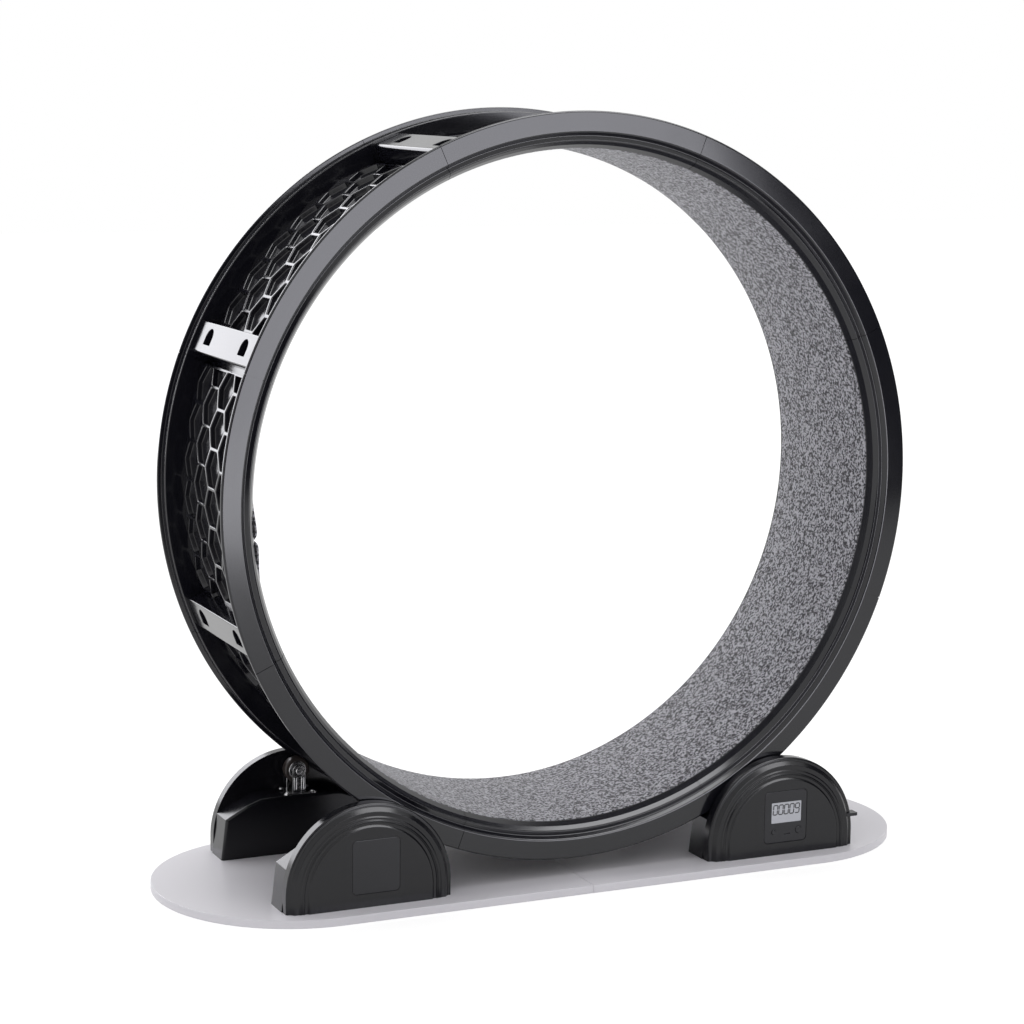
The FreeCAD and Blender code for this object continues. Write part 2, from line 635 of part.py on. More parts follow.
# The cells fill the drum: seven rows between the end walls, and five columns between the rims that
# interlock, each two thirds of a whole cell further on
RIB_POINT = size("rib_width") / math.sqrt(3)
COLUMN_PITCH = (number(RIM_WALL) - size("cell_side_gap") + RIB_POINT) * 3 / 8
CELL_REACH = COLUMN_PITCH / 1.5 - RIB_POINT
CELL_LENGTH = math.radians(ROW_ANGLE) * number(CREST_RADIUS) - size("rib_width")


def on_wheel(radius, across, angle):
    """Point of the wheel before it is lifted to its axis."""
    turn = math.radians(angle)
    return Vector(radius * math.cos(turn), across, radius * math.sin(turn))


def rim_section():
    """Section of a segment, from the rear rim over the crest to the front rim and back along the
    running seat, as pairs of radius and distance along the axis."""
    face = number(WHEEL_FACE)
    track = number(TRACK_RADIUS)
    wall = number(RIM_WALL)
    lip = face - size("lip_width")
    flat = size("wheel_radius") - size("face_depth")
    bevel = flat - size("bevel_depth")
    rim = [(number(SEAT_RADIUS), face - size("bevel_width") - size("throat_width")),
           (bevel, face - size("bevel_width")), (flat, face), (size("wheel_radius"), face),
           (size("wheel_radius"), lip), (track, lip), (track, wall), (number(CREST_RADIUS), wall)]
    return rim + [(radius, -across) for radius, across in reversed(rim)]


def panelled_sector(section, angles):
    """Solid with the section at each angle and flat panels between, so that the creases of the
    drum run along the middles and the edges of the cells."""
    rings = [[on_wheel(radius, across, angle) for radius, across in section] for angle in angles]
    faces = [Part.Face(Part.makePolygon([a, b, c, d, a]))
             for ring, following in zip(rings, rings[1:])
             for a, b, c, d in zip(ring, ring[1:] + ring[:1],
                                   following[1:] + following[:1], following)]
    faces += [Part.Face(Part.makePolygon(ring + ring[:1])) for ring in (rings[0], rings[-1])]
    shell = Part.Shell(faces)
    shell.sewShape()
    return Part.Solid(shell).removeSplitter()


def cell(across, angle):
    """Tool for one honeycomb cell: a six-sided prism with its points towards the two rims, cut
    off square where it would reach over the end of the segment."""
    floor = number(CELL_FLOOR)
    height = 2 * size("cell_depth")
    corners = [Vector(floor, across + side * CELL_REACH * share, along * CELL_LENGTH / 2)
               for side, share, along in ((1, 1, 0), (1, 0.5, 1), (-1, 0.5, 1),
                                          (-1, 1, 0), (-1, 0.5, -1), (1, 0.5, -1))]
    prism = Part.Face(Part.makePolygon(corners + corners[:1])).extrude(Vector(height, 0, 0))
    if angle < ROW_ANGLE / 2 - END_WALL_ANGLE:
        upper = Part.makeBox(3 * height, 2 * CELL_REACH, CELL_LENGTH,
                             Vector(floor - height, across - CELL_REACH, 0))
        prism = prism.common(upper)
    prism.rotate(Vector(), AXIS, angle)
    return prism


def honeycomb():
    """All the cells of a segment: three columns, and two between them that are half a row on.
    The joint block takes the place of the last row."""
    middle = SEGMENT_ANGLE / 2
    rows = int(size("cell_rows"))
    tools = []
    for row in range(rows - 1):
        angle = middle + (row - (rows - 1) / 2) * ROW_ANGLE
        tools += [cell(column * 2 * COLUMN_PITCH, angle) for column in (-1, 0, 1)]
    for row in range(rows):
        angle = middle + (row - rows / 2) * ROW_ANGLE
        tools += [cell(column * COLUMN_PITCH, angle) for column in (-1, 1)]
    return Part.makeCompound(tools)


def joint_angle():
    """Angle of the joint block's middle, from the start of its segment."""
    return SEGMENT_ANGLE - math.degrees(size("joint_distance") / number(CREST_RADIUS))


def tangent_box(low, high, angle):
    """Box between two corners (radius, across, along), square to the radius at an angle."""
    box = Part.makeBox(*[b - a for a, b in zip(low, high)], Vector(*low))
    box.rotate(Vector(), AXIS, angle)
    return box


def joint_block():
    """Block on the drum between the two rims, beside the seam, bevelled along the seam's side."""
    half = size("joint_length") / 2
    side = number(RIM_WALL) - size("joint_side_gap")
    foot = number(SEAT_RADIUS) + size("drum_skin") / 2
    top = number(JOINT_RADIUS)
    bevel = size("joint_bevel")
    outline = [(foot, -half), (top, -half), (top, half - bevel), (top - bevel, half), (foot, half)]
    corners = [Vector(radius, -side, along) for radius, along in outline]
    block = Part.Face(Part.makePolygon(corners + corners[:1])).extrude(Vector(0, 2 * side, 0))
    block.rotate(Vector(), AXIS, joint_angle())
    return block


def screw_pocket(across):
    """Arched pocket in the joint block: a flat end towards the seam and a round end."""
    radius = size("window_width") / 2
    floor = number(JOINT_RADIUS) - size("window_depth")
    flat = size("window_flat")
    round_middle = flat - size("window_straight")
    facets = int(size("window_facets"))
    corners = [Vector(floor, across + radius, flat), Vector(floor, across - radius, flat)]
    for step in range(facets + 1):
        turn = math.pi * (1 + step / facets)
        corners.append(Vector(floor, across + radius * math.cos(turn),
                              round_middle + radius * math.sin(turn)))
    outline = Part.Face(Part.makePolygon(corners + corners[:1]))
    pocket = outline.extrude(Vector(2 * size("window_depth"), 0, 0))
    pocket.rotate(Vector(), AXIS, joint_angle())
    return pocket


def tongue(gap, angle):
    """Tongue that reaches back into the joint block before it, larger by a gap for its slot."""
    seam = size("joint_distance")
    floor = number(SEAT_RADIUS) + size("tongue_rise")
    low = (floor - gap, -size("tongue_width") / 2 - gap, seam - size("tongue_reach") - gap)
    high = (floor + size("tongue_thickness") + gap, size("tongue_width") / 2 + gap,
            seam + size("end_wall"))
    return tangent_box(low, high, angle)


def wheel_segment():
    """One moulded segment: rims, honeycomb drum, joint block and tongue."""
    first = HALF_SEAM
    last = SEGMENT_ANGLE - HALF_SEAM
    half_rows = int(size("cell_rows"))
    creases = [SEGMENT_ANGLE / 2 + step * ROW_ANGLE / 2 for step in range(1 - half_rows, half_rows)]
    drum = panelled_sector(rim_section(), [first] + creases + [last])
    drum = drum.cut(honeycomb())
    moulding = drum.fuse(joint_block())
    cuts = [screw_pocket(side * size("window_offset")) for side in (-1, 1)]
    cuts.append(tongue(size("tongue_gap"), joint_angle()))
    moulding = moulding.cut(Part.makeCompound(cuts))
    return moulding.fuse(tongue(0, joint_angle() - SEGMENT_ANGLE)).removeSplitter()


def wheel_placement(angle):
    """Placement of a wheel piece, turned about the axis at its height."""
    return Placement(Vector(0, 0, number(AXIS_HEIGHT)), Rotation(AXIS, angle))


def add_shape(name, shape, placement):
    """Sub-part whose shape is made directly."""
    feature = doc.addObject("Part::Feature", name)
    feature.Shape = shape
    feature.Placement = placement
    feature.Label = name
    sub_parts.append(feature)
    return feature


def running_mat():
    """Mat round the inside of the wheel, with its two ends a little apart."""
    seat = number(SEAT_RADIUS) * math.cos(math.radians(ROW_ANGLE / 2))
    outer = seat - size("mat_gap")
    inner = outer - size("mat_thickness")
    half = size("mat_width") / 2
    opening = math.degrees(size("mat_joint") / inner)
    panels = int(size("mat_panels"))
    section = [(inner, -half), (outer, -half), (outer, half), (inner, half)]
    ring = panelled_sector(section, [opening / 2 + step * (360 - opening) / panels
                                     for step in range(panels + 1)])
    return add_shape("running_mat", ring, wheel_placement(size("mat_joint_angle")))


segment = wheel_segment()
for index in range(int(size("segment_count"))):
    add_shape(f"wheel_segment_{index + 1}", segment.copy(),
              wheel_placement(size("first_seam_angle") + index * SEGMENT_ANGLE))
running_mat()


def wheel_magnet():
    """Small magnet on the inner wall of the front rim, on the lap sensor's side."""
    wall = -number(RIM_WALL)
    middle = size("wheel_radius") - size("magnet_inset")
    half = (size("magnet_height") / 2, size("magnet_length") / 2)
    shape = tangent_box((middle - half[0], wall, -half[1]),
                        (middle + half[0], wall + size("magnet_thickness"), half[1]), 0)
    return add_shape("wheel_magnet", shape,
                     wheel_placement(size("first_seam_angle") - SEGMENT_ANGLE / 2))


wheel_magnet()


# ------------------------------------------------------------------------------------------------
# Check and write
# ------------------------------------------------------------------------------------------------

doc.recompute()
for thing in doc.Objects:
    if {"Invalid", "Error"} & set(thing.State):
        raise RuntimeError(f"{thing.Label} failed: {thing.State}")
    if thing.isDerivedFrom("PartDesign::Pocket"):
        if thing.Shape.Volume >= thing.BaseFeature.Shape.Volume:
            raise RuntimeError(f"{thing.Label} cuts nothing")
for thing in sub_parts:
    if thing.Shape.isNull() or not thing.Shape.isValid():
        raise RuntimeError(f"{thing.Label} has no valid shape")

os.makedirs("parts", exist_ok=True)
for thing in sub_parts:
    thing.Shape.exportStep(f"parts/{thing.Label}.step")
    print(thing.Label, len(thing.Shape.Solids), round(thing.Shape.Volume))
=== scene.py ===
"""Looks of a cat exercise wheel: a large running wheel of eight glossy black segments with a grey
felt mat, on four rollers in half-round housings, on a pale laminated board.

Lengths inside the functions are millimetres, in the part's frame; meshes are made in metres.
"""

import math

import bmesh
import bpy
import numpy as np
from mathutils import Matrix, Vector
from mathutils.geometry import tessellate_polygon


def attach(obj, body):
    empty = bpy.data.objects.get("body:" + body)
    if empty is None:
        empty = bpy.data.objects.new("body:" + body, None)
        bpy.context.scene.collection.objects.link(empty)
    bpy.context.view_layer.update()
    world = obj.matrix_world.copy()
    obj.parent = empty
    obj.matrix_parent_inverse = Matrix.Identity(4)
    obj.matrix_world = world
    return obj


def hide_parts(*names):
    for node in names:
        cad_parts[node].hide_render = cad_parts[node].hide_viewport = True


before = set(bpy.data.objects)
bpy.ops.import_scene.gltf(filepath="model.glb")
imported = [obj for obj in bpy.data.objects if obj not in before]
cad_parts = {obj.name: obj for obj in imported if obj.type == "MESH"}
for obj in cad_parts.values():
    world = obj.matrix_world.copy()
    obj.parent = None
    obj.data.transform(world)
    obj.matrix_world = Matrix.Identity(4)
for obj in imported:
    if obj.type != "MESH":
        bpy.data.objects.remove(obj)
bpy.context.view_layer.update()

MM = 0.001
MERGE_DISTANCE = 0.004

# Wheel: radii from its axis, and distances across from its middle plane
AXIS_HEIGHT = 533.8
WHEEL_RADIUS = 500.0
TRACK = 494.5
CREST = 468.0
DRUM_SIDE = 117.0
RIM_FACE = 138.0

# Segments; a seam is open by 0.36 mm on each side of its middle, where a degree is 8.63 mm long
SEGMENTS = 8
SEGMENT_ANGLE = math.radians(45.0)
FIRST_SEAM = math.radians(24.5)
HALF_SEAM = math.radians(0.36 / 8.63)
SEAM_DEPTH = 1.6
TRENCH_DEPTH = 8.0
TRENCH_LEAN = 0.001
END_WALL = 2.5
END_WALL_ANGLE = END_WALL / CREST

# Joint blocks and their screw pockets
SEAM_TO_BLOCK = 6.0
TO_BLOCK_ANGLE = SEGMENT_ANGLE - SEAM_TO_BLOCK / CREST
BLOCK_FROM_SEAM = 28.0
BLOCK_SIDE = 116.9
BLOCK_END = BLOCK_FROM_SEAM - SEAM_TO_BLOCK
BLOCK_FOOT = 455.0
BLOCK_TOP = 489.5
POCKET_ACROSS = 70.0
POCKET_WIDTH = 26.0
POCKET_FLOOR = 474.5

# Honeycomb: rows of cells along a segment, columns across it
ROWS = 7
ROW_ANGLE = (SEGMENT_ANGLE - 2 * END_WALL_ANGLE) / ROWS
COLUMN_PITCH = 44.5
CELL_EDGE = ROW_ANGLE * CREST / 2
CELL_STRETCH = COLUMN_PITCH * 2 / math.sqrt(3) / (ROW_ANGLE * CREST)
CELL_END_WALL = 2.6
# A cell's rings from its edge inwards: distance to the flats, softness of the corners, depth
CELL_RINGS = [(CELL_EDGE, 0, 0.0), (CELL_EDGE - 1.2, 60, 0.0), (CELL_EDGE - 1.9, 44, 0.18),
              (CELL_EDGE - 2.4, 40, 0.6), (CELL_EDGE - 2.6, 40, 1.2), (CELL_EDGE - 3.1, 34, 6.0),
              (CELL_EDGE - 3.6, 30, 6.9), (CELL_EDGE - 4.8, 26, 7.5), (CELL_EDGE - 8, 16, 8.2),
              (CELL_EDGE - 13, 10, 8.8), (0.01, 10, 9.2)]

# Running mat; its ends rise off the seat over the first distance and die away over the second
MAT_SURFACE = 451.0
MAT_THICKNESS = 2.4
MAT_HALF_WIDTH = 116.0
MAT_JOINT = math.radians(185.0)
MAT_END_LIFT = 5.0
MAT_END_RISE = 9.0
MAT_END_FALL = 52.0

# Base board: half a stadium on each side of the joint
BOARD_TOP = 11.0
BOARD_HALF_DEPTH = 192.0
BOARD_END_CENTRE = 355.0
BOARD_HALF_JOINT = 0.25

# Housings: the arch and the inner block, from the wheel's middle plane and above the board
ARCH_CENTRE = 21.5
ARCH_RADIUS = 115.0
FACE = 165.0
SADDLE_BACK = 100.0
SADDLE_DEPTH = 42.5
SADDLE_HEIGHT = 82.0

# Panels in the arches, as (across, up, width, height), and what is set into the counter's face
PANELS = {"front_left": (6, 54.3, 66, 72), "front_right": (2, 54.3, 67, 73.5)}
PANEL_CORNER = 6.0
DISPLAY_SHIFT = (1.3, 6.0)
DISPLAY_SIZE = (47.2, 29.2)
DISPLAY_GAP = 0.1
SLOT_SHIFT = (2.8, -25.0)
BUTTONS = {"mode_button": (-18.6, 3.5), "reset_button": (21.2, 5.0)}
BUTTON_LEVEL = -21.0
BUTTON_GAP = 0.2

# Digits of the display; each shows its bars from the top clockwise, then the middle one
BARS_SHOWN = {"0": (1, 1, 1, 1, 1, 1, 0), "9": (1, 1, 1, 1, 0, 1, 1)}
READING = "00009"
DIGIT_START = (-20.0, 3.6)
DIGIT_PITCH = 8.7
DIGIT_WIDTH = 6.4
DIGIT_HEIGHT = 13.5
DIGIT_BAR = 1.6
DIGIT_GAP = 0.15
DIGIT_SLANT = 0.08

# Rollers and brackets
ROLLER_OFFSET = 307.5
ROLLER_MIDDLE = 124.75
ROLLER_HEIGHT = 123.425
SADDLE_TOP = 92.8
CORNERS = {"front_left": (-1, -1), "front_right": (1, -1),
           "rear_left": (-1, 1), "rear_right": (1, 1)}
STEEL_GAUGE = 2.2
PLATE_SHIFT = 3.8
AXLE_RADIUS = 3.0
HUB_RADIUS = 12.6
TYRE_RADIUS = 18.0


# ------------------------------------------------------------------------------------------------
# Outlines and profiles
# ------------------------------------------------------------------------------------------------

def rounded(corners, steps=6, closed=True):
    """Polyline through corners (x, y, radius), each replaced by an arc tangent to its two sides.

    The arc starts and ends at radius / tan(half the corner's angle) from the corner, and its points
    lie at equal turns about the arc's centre."""
    corners = np.asarray(corners, float)
    count = len(corners)
    points = []
    for index in range(count):
        corner, radius = corners[index, :2], corners[index, 2]
        if radius <= 0 or (not closed and index in (0, count - 1)):
            points.append(corner[None])
            continue
        before = corners[index - 1, :2] - corner
        after = corners[(index + 1) % count, :2] - corner
        before /= np.linalg.norm(before)
        after /= np.linalg.norm(after)
        half = math.acos(float(np.clip(before @ after, -1, 1))) / 2
        middle = before + after
        middle /= np.linalg.norm(middle)
        centre = corner + middle * radius / math.sin(half)
        start = corner + before * radius / math.tan(half) - centre
        end = corner + after * radius / math.tan(half) - centre
        share = np.linspace(0, 1, steps + 1)[:, None]
        whole = math.pi - 2 * half
        points.append(centre + (np.sin((1 - share) * whole) * start + np.sin(share * whole) * end)
                      / math.sin(whole))
    return np.concatenate(points)


def rounded_box(middle, width, height, radius, steps=6):
    """Rectangle about its middle with round corners, anticlockwise."""
    x, y = middle
    w, h = width / 2, height / 2
    return rounded([(x - w, y - h, radius), (x + w, y - h, radius), (x + w, y + h, radius),
                    (x - w, y + h, radius)], steps)


def circle(middle, radius, count=48):
    """Points at equal turns on a circle, anticlockwise."""
    turn = np.linspace(0, 2 * math.pi, count, endpoint=False)
    return np.stack([middle[0] + radius * np.cos(turn), middle[1] + radius * np.sin(turn)], 1)


def inset(outline, amount):
    """Outline moved inwards by amount: each point goes along the mean of its two sides' normals,
    lengthened so that both sides move by the full amount."""
    side = np.roll(outline, -1, 0) - outline
    side = side / np.maximum(np.linalg.norm(side, axis=1, keepdims=True), 1e-9)
    normal = np.stack([-side[:, 1], side[:, 0]], 1)
    mean = normal + np.roll(normal, 1, 0)
    mean = mean / np.maximum((mean ** 2).sum(1, keepdims=True), 0.4) * 2
    return outline + mean * amount


def edge_round(radius, steps=4):
    """Quarter circle as (inset, drop) pairs: from full width at depth radius up to the top face."""
    turn = np.linspace(0, math.pi / 2, steps + 1)
    return [(radius * (1 - math.cos(t)), radius * (1 - math.sin(t))) for t in turn]


# ------------------------------------------------------------------------------------------------
# Meshes
# ------------------------------------------------------------------------------------------------

class Shell:
    """Collects grids, loops and flat faces in millimetres and makes one mesh of them."""

    def __init__(self):
        self.points, self.faces, self.count = [], [], 0

    def add(self, points, faces):
        """Take in points and the faces that count from the first of them."""
        points = np.asarray(points, float).reshape(-1, 3)
        self.points.append(points)
        self.faces += [tuple(int(i) + self.count for i in face) for face in faces]
        self.count += len(points)

    def grid(self, points, wrap=False, flip=False):
        """Quads over points[row, column]; wrap joins the last column to the first."""
        rows, columns = points.shape[:2]
        row = np.arange(rows - 1)[:, None]
        column = np.arange(columns if wrap else columns - 1)[None]
        following = (column + 1) % columns
        quads = np.stack([row * columns + column, row * columns + following,
                          (row + 1) * columns + following, (row + 1) * columns + column], -1)
        quads = quads.reshape(-1, 4)
        self.add(points, quads[:, ::-1] if flip else quads)

    def flat(self, loops, flip=False):
        """Flat face bounded by the first loop, with the other loops as holes in it."""
        vectors = [[Vector(p) for p in loop] for loop in loops]
        triangles = tessellate_polygon(vectors)
        points = np.concatenate([np.asarray(loop, float) for loop in loops])
        self.add(points, [t[::-1] if flip else t for t in triangles])

    def prism(self, outline, frame_of, levels, cap_low=True, holes=()):
        """Outline carried through levels (inset, height), closed by flat faces."""
        rings = np.stack([frame_of(inset(outline, amount), height) for amount, height in levels])
        self.grid(rings, wrap=True)
        if cap_low:
            self.flat([rings[0]], flip=True)
        self.flat([rings[-1]] + list(holes))

    def make(self, name, sharp=32.0):
        """Mesh object with doubles merged, faces outwards and edges sharp past an angle."""
        mesh = bpy.data.meshes.new(name)
        mesh.from_pydata((np.concatenate(self.points) * MM).tolist(), [], self.faces)
        work = bmesh.new()
        work.from_mesh(mesh)
        bmesh.ops.remove_doubles(work, verts=work.verts, dist=MERGE_DISTANCE * MM)
        bmesh.ops.dissolve_degenerate(work, edges=work.edges, dist=1e-7)
        bmesh.ops.recalc_face_normals(work, faces=work.faces)
        work.to_mesh(mesh)
        work.free()
        mesh.shade_smooth()
        mesh.set_sharp_from_angle(angle=math.radians(sharp))
        thing = bpy.data.objects.new(name, mesh)
        bpy.context.scene.collection.objects.link(thing)
        return thing


def weighted_normals(thing):
    """Keeps large flats flat beside small roundings."""
    modifier = thing.modifiers.new("flat_faces", "WEIGHTED_NORMAL")
    modifier.keep_sharp = True
    modifier.weight = 60


def finish_piece(thing, material, body, nodes=(), smooth=True):
    """Give a piece its material, body, slot and the nodes that it stands for."""
    thing.data.materials.append(material)
    if smooth:
        weighted_normals(thing)
    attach(thing, body)
    if nodes:
        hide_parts(*nodes)
    return thing


# ------------------------------------------------------------------------------------------------
# Materials
# ------------------------------------------------------------------------------------------------

class Value:
    """A shader number that does arithmetic: each operator adds its Math node."""

    def __init__(self, paint, socket):
        self.paint, self.socket = paint, socket

    def _math(self, operation, *values):
        return self.paint.node("ShaderNodeMath", {"operation": operation},
                               dict(enumerate(values)))

    def __add__(self, other):
        return self._math("ADD", self, other)

    def __mul__(self, other):
        return self._math("MULTIPLY", self, other)


# Sockets of the mix node that belong to colours
MIX_SHARE, MIX_FIRST, MIX_SECOND, MIX_COLOUR = 0, 6, 7, 2


class Paint:
    """A node material on the Principled shader."""

    def __init__(self, name, **constants):
        self.material = bpy.data.materials.new(name)
        self.material.use_nodes = True
        self.tree = self.material.node_tree
        self.shader = self.tree.nodes["Principled BSDF"]
        for key, value in constants.items():
            self.shader.inputs[key.replace("_", " ")].default_value = value

    def node(self, kind, settings=None, inputs=None, output=0):
        """A node with its settings, its sockets' values or links, and one output as a Value."""
        node = self.tree.nodes.new(kind)
        for key, value in (settings or {}).items():
            setattr(node, key, value)
        for key, value in (inputs or {}).items():
            if isinstance(value, Value):
                self.tree.links.new(value.socket, node.inputs[key])
            else:
                node.inputs[key].default_value = value
        return Value(self, node.outputs[output])

    def place(self):
        """The piece's own coordinates, in metres."""
        return self.node("ShaderNodeTexCoord", output="Object")

    def noise(self, scale, detail=2.0, roughness=0.5, place=None):
        """Even noise from 0 to 1, with scale cells to the metre."""
        return self.node("ShaderNodeTexNoise", {}, {"Vector": place or self.place(),
                         "Scale": scale, "Detail": detail, "Roughness": roughness}, "Fac")

    def spread(self, value, low, high, to_low, to_high):
        """Value from low..high stretched to to_low..to_high, and held inside it."""
        return self.node("ShaderNodeMapRange", {"clamp": True},
                         {"Value": value, "From Min": low, "From Max": high,
                          "To Min": to_low, "To Max": to_high})

    def blend(self, share, first, second):
        """Mix of two colours."""
        node = self.tree.nodes.new("ShaderNodeMix")
        node.data_type = "RGBA"
        for index, value in ((MIX_SHARE, share), (MIX_FIRST, first), (MIX_SECOND, second)):
            if isinstance(value, Value):
                self.tree.links.new(value.socket, node.inputs[index])
            else:
                node.inputs[index].default_value = value if index == MIX_SHARE else (*value, 1)
        return Value(self, node.outputs[MIX_COLOUR])

    def bump(self, height, strength, distance):
        """Normal from a height."""
        return self.node("ShaderNodeBump", {}, {"Height": height, "Strength": strength,
                                                "Distance": distance})

    def feed(self, **values):
        """Link values to the shader's sockets."""
        for key, value in values.items():
            self.tree.links.new(value.socket, self.shader.inputs[key.replace("_", " ")])
        return self.material


def black_plastic(name, shade, gloss, grain, specular=0.36):
    """Moulded black plastic: a little uneven in gloss, with very fine grain and faint dust."""
    paint = Paint(name, Specular_IOR_Level=specular)
    cloud = paint.noise(9, 3)
    fine = paint.noise(1400, 2)
    dust = paint.spread(paint.noise(260, 4, 0.7), 0.62, 0.8, 0, 1)
    colour = paint.blend(dust * 0.12 + cloud * 0.25, shade, tuple(1.9 * c + 0.003 for c in shade))
    rough = paint.spread(cloud, 0.3, 0.7, gloss * 0.85, gloss * 1.2) + dust * 0.06
    height = fine * 0.4 + paint.noise(35, 2) * 1.5
    return paint.feed(Base_Color=colour, Roughness=rough,
                      Normal=paint.bump(height, grain, 0.0002))


def felt():
    """Heather grey felt: light and dark fibres in short tufts, with a soft nap."""
    paint = Paint("grey_heather_felt", Sheen_Weight=0.35, Sheen_Roughness=0.5,
                  Specular_IOR_Level=0.2)
    fibres = paint.noise(300, 2, 0.75)
    flecks = paint.noise(150, 1, 0.6)
    clouds = paint.noise(14, 2)
    mix = fibres * 0.72 + flecks * 0.28
    tone = paint.spread(mix, 0.45, 0.56, 0, 1)
    colour = paint.blend(tone, (0.020, 0.019, 0.025), (0.47, 0.465, 0.51))
    colour = paint.blend(clouds * 0.08, colour, (0.16, 0.16, 0.17))
    rough = paint.spread(fibres, 0.3, 0.7, 0.85, 1.0)
    return paint.feed(Base_Color=colour, Roughness=rough,
                      Normal=paint.bump(mix, 0.9, 0.0016))


def laminate():
    """Pale laminate: a cool off-white with a faint pore and slightly uneven gloss."""
    paint = Paint("pale_laminate", Specular_IOR_Level=0.4)
    cloud = paint.noise(5, 3)
    pores = paint.noise(900, 3, 0.6)
    colour = paint.blend(cloud, (0.66, 0.645, 0.69), (0.72, 0.705, 0.745))
    colour = paint.blend(paint.spread(pores, 0.6, 0.8, 0, 0.12), colour, (0.5, 0.49, 0.53))
    rough = paint.spread(cloud, 0.3, 0.7, 0.3, 0.42)
    return paint.feed(Base_Color=colour, Roughness=rough,
                      Normal=paint.bump(pores, 0.12, 0.0002))


def bright_steel():
    """Bright plated steel with fine draw marks and small scuffs."""
    paint = Paint("bright_steel", Metallic=1.0)
    marks = paint.noise(700, 2)
    scuffs = paint.noise(90, 4, 0.7)
    colour = paint.blend(scuffs, (0.62, 0.62, 0.64), (0.8, 0.8, 0.81))
    rough = paint.spread(scuffs, 0.3, 0.75, 0.1, 0.3)
    return paint.feed(Base_Color=colour, Roughness=rough, Normal=paint.bump(marks, 0.08, 0.0002))


def tyre_rubber():
    """Dark moulded tyre, a little brown, with uneven patches of wear."""
    paint = Paint("roller_tyre", Specular_IOR_Level=0.4)
    wear = paint.noise(60, 3)
    colour = paint.blend(wear, (0.018, 0.014, 0.013), (0.05, 0.04, 0.037))
    rough = paint.spread(wear, 0.3, 0.7, 0.28, 0.45)
    return paint.feed(Base_Color=colour, Roughness=rough,
                      Normal=paint.bump(paint.noise(900, 2), 0.15, 0.0002))


def display_glass():
    """Grey liquid-crystal display under a clear pane, a shade uneven from edge to edge."""
    paint = Paint("display_pane", Coat_Weight=0.6, Coat_Roughness=0.05)
    cloud = paint.noise(40, 2)
    grid = paint.noise(2600, 0)
    colour = paint.blend(cloud, (0.44, 0.45, 0.50), (0.50, 0.51, 0.56))
    colour = paint.blend(grid * 0.1, colour, (0.24, 0.24, 0.26))
    return paint.feed(Base_Color=colour, Roughness=paint.spread(cloud, 0.3, 0.7, 0.28, 0.36))


def dark_ink():
    """Dark segments of the display."""
    paint = Paint("display_segments")
    cloud = paint.noise(300, 1)
    return paint.feed(Base_Color=paint.blend(cloud, (0.02, 0.02, 0.025), (0.05, 0.05, 0.055)),
                      Roughness=paint.spread(cloud, 0.3, 0.7, 0.3, 0.4))


def circuit_green():
    """Circuit board lacquer with faint tracks."""
    paint = Paint("circuit_lacquer")
    tracks = paint.noise(500, 1)
    return paint.feed(Base_Color=paint.blend(tracks, (0.01, 0.09, 0.04), (0.03, 0.2, 0.09)),
                      Roughness=paint.spread(tracks, 0.3, 0.7, 0.3, 0.5))


DRUM_GLOSS = black_plastic("drum_black_plastic", (0.006, 0.006, 0.009), 0.13, 0.03,
                           specular=0.50516)
SATIN = black_plastic("satin_black_plastic", (0.008, 0.008, 0.011), 0.3, 0.08)
HOUSING = black_plastic("housing_black_plastic", (0.005, 0.005, 0.007), 0.2, 0.05)
PANEL = black_plastic("panel_black_plastic", (0.009, 0.009, 0.012), 0.34, 0.10)
FELT = felt()
LAMINATE = laminate()
STEEL = bright_steel()
TYRE = tyre_rubber()
DISPLAY = display_glass()
INK = dark_ink()
CIRCUIT = circuit_green()


# ------------------------------------------------------------------------------------------------
# Wheel
# ------------------------------------------------------------------------------------------------

def on_wheel(radius, across, angle):
    """Point at a radius from the wheel's axis, a distance along it and an angle from +X."""
    radius, across, angle = np.broadcast_arrays(radius, across, angle)
    return np.stack([radius * np.cos(angle), across, AXIS_HEIGHT + radius * np.sin(angle)], -1)


def rim_profile():
    """Front rim as (radius, distance from the middle plane), from the drum's wall over the track,
    the lip, the flat face and the bevel to the small lip that holds the mat's edge."""
    return rounded([(CREST, DRUM_SIDE, 0), (TRACK, DRUM_SIDE, 1.6), (TRACK, 132.2, 0.8),
                    (WHEEL_RADIUS, 132.8, 1.3), (WHEEL_RADIUS, RIM_FACE, 2.6),
                    (472.6, RIM_FACE, 3.5), (468.2, 131.2, 1.2), (462.2, 133.4, 0.8),
                    (460.6, 132.4, 0.6), (456.4, 127, 1.5), (452.0, 118.8, 1.0),
                    (451.4, 117.2, 0.5), (454.3, 116.6, 0.2), (454.5, 115.5, 0)], 5,
                   closed=False)


def hexagon_ring(apothem, softness, count=48):
    """Closed ring of (across, along) offsets.  A straight hexagon is the apothem over the cosine of
    the turn from the nearest flat; softness rounds its corners by taking the power mean of the
    three flats' cosines instead of the largest."""
    turn = np.arange(count) / count * 2 * math.pi
    flats = np.abs(np.cos(turn[:, None] - np.radians([30.0, 90.0, 150.0])[None]))
    if softness:
        reach = apothem / (flats ** softness).sum(1) ** (1 / softness)
    else:
        reach = apothem / flats.max(1)
    return np.stack([reach * np.cos(turn) * CELL_STRETCH, reach * np.sin(turn)], 1)


def row_angle(row):
    """Angle from a segment's start to the middle of one of its full rows of cells."""
    return SEGMENT_ANGLE / 2 + (row - (ROWS - 1) / 2) * ROW_ANGLE


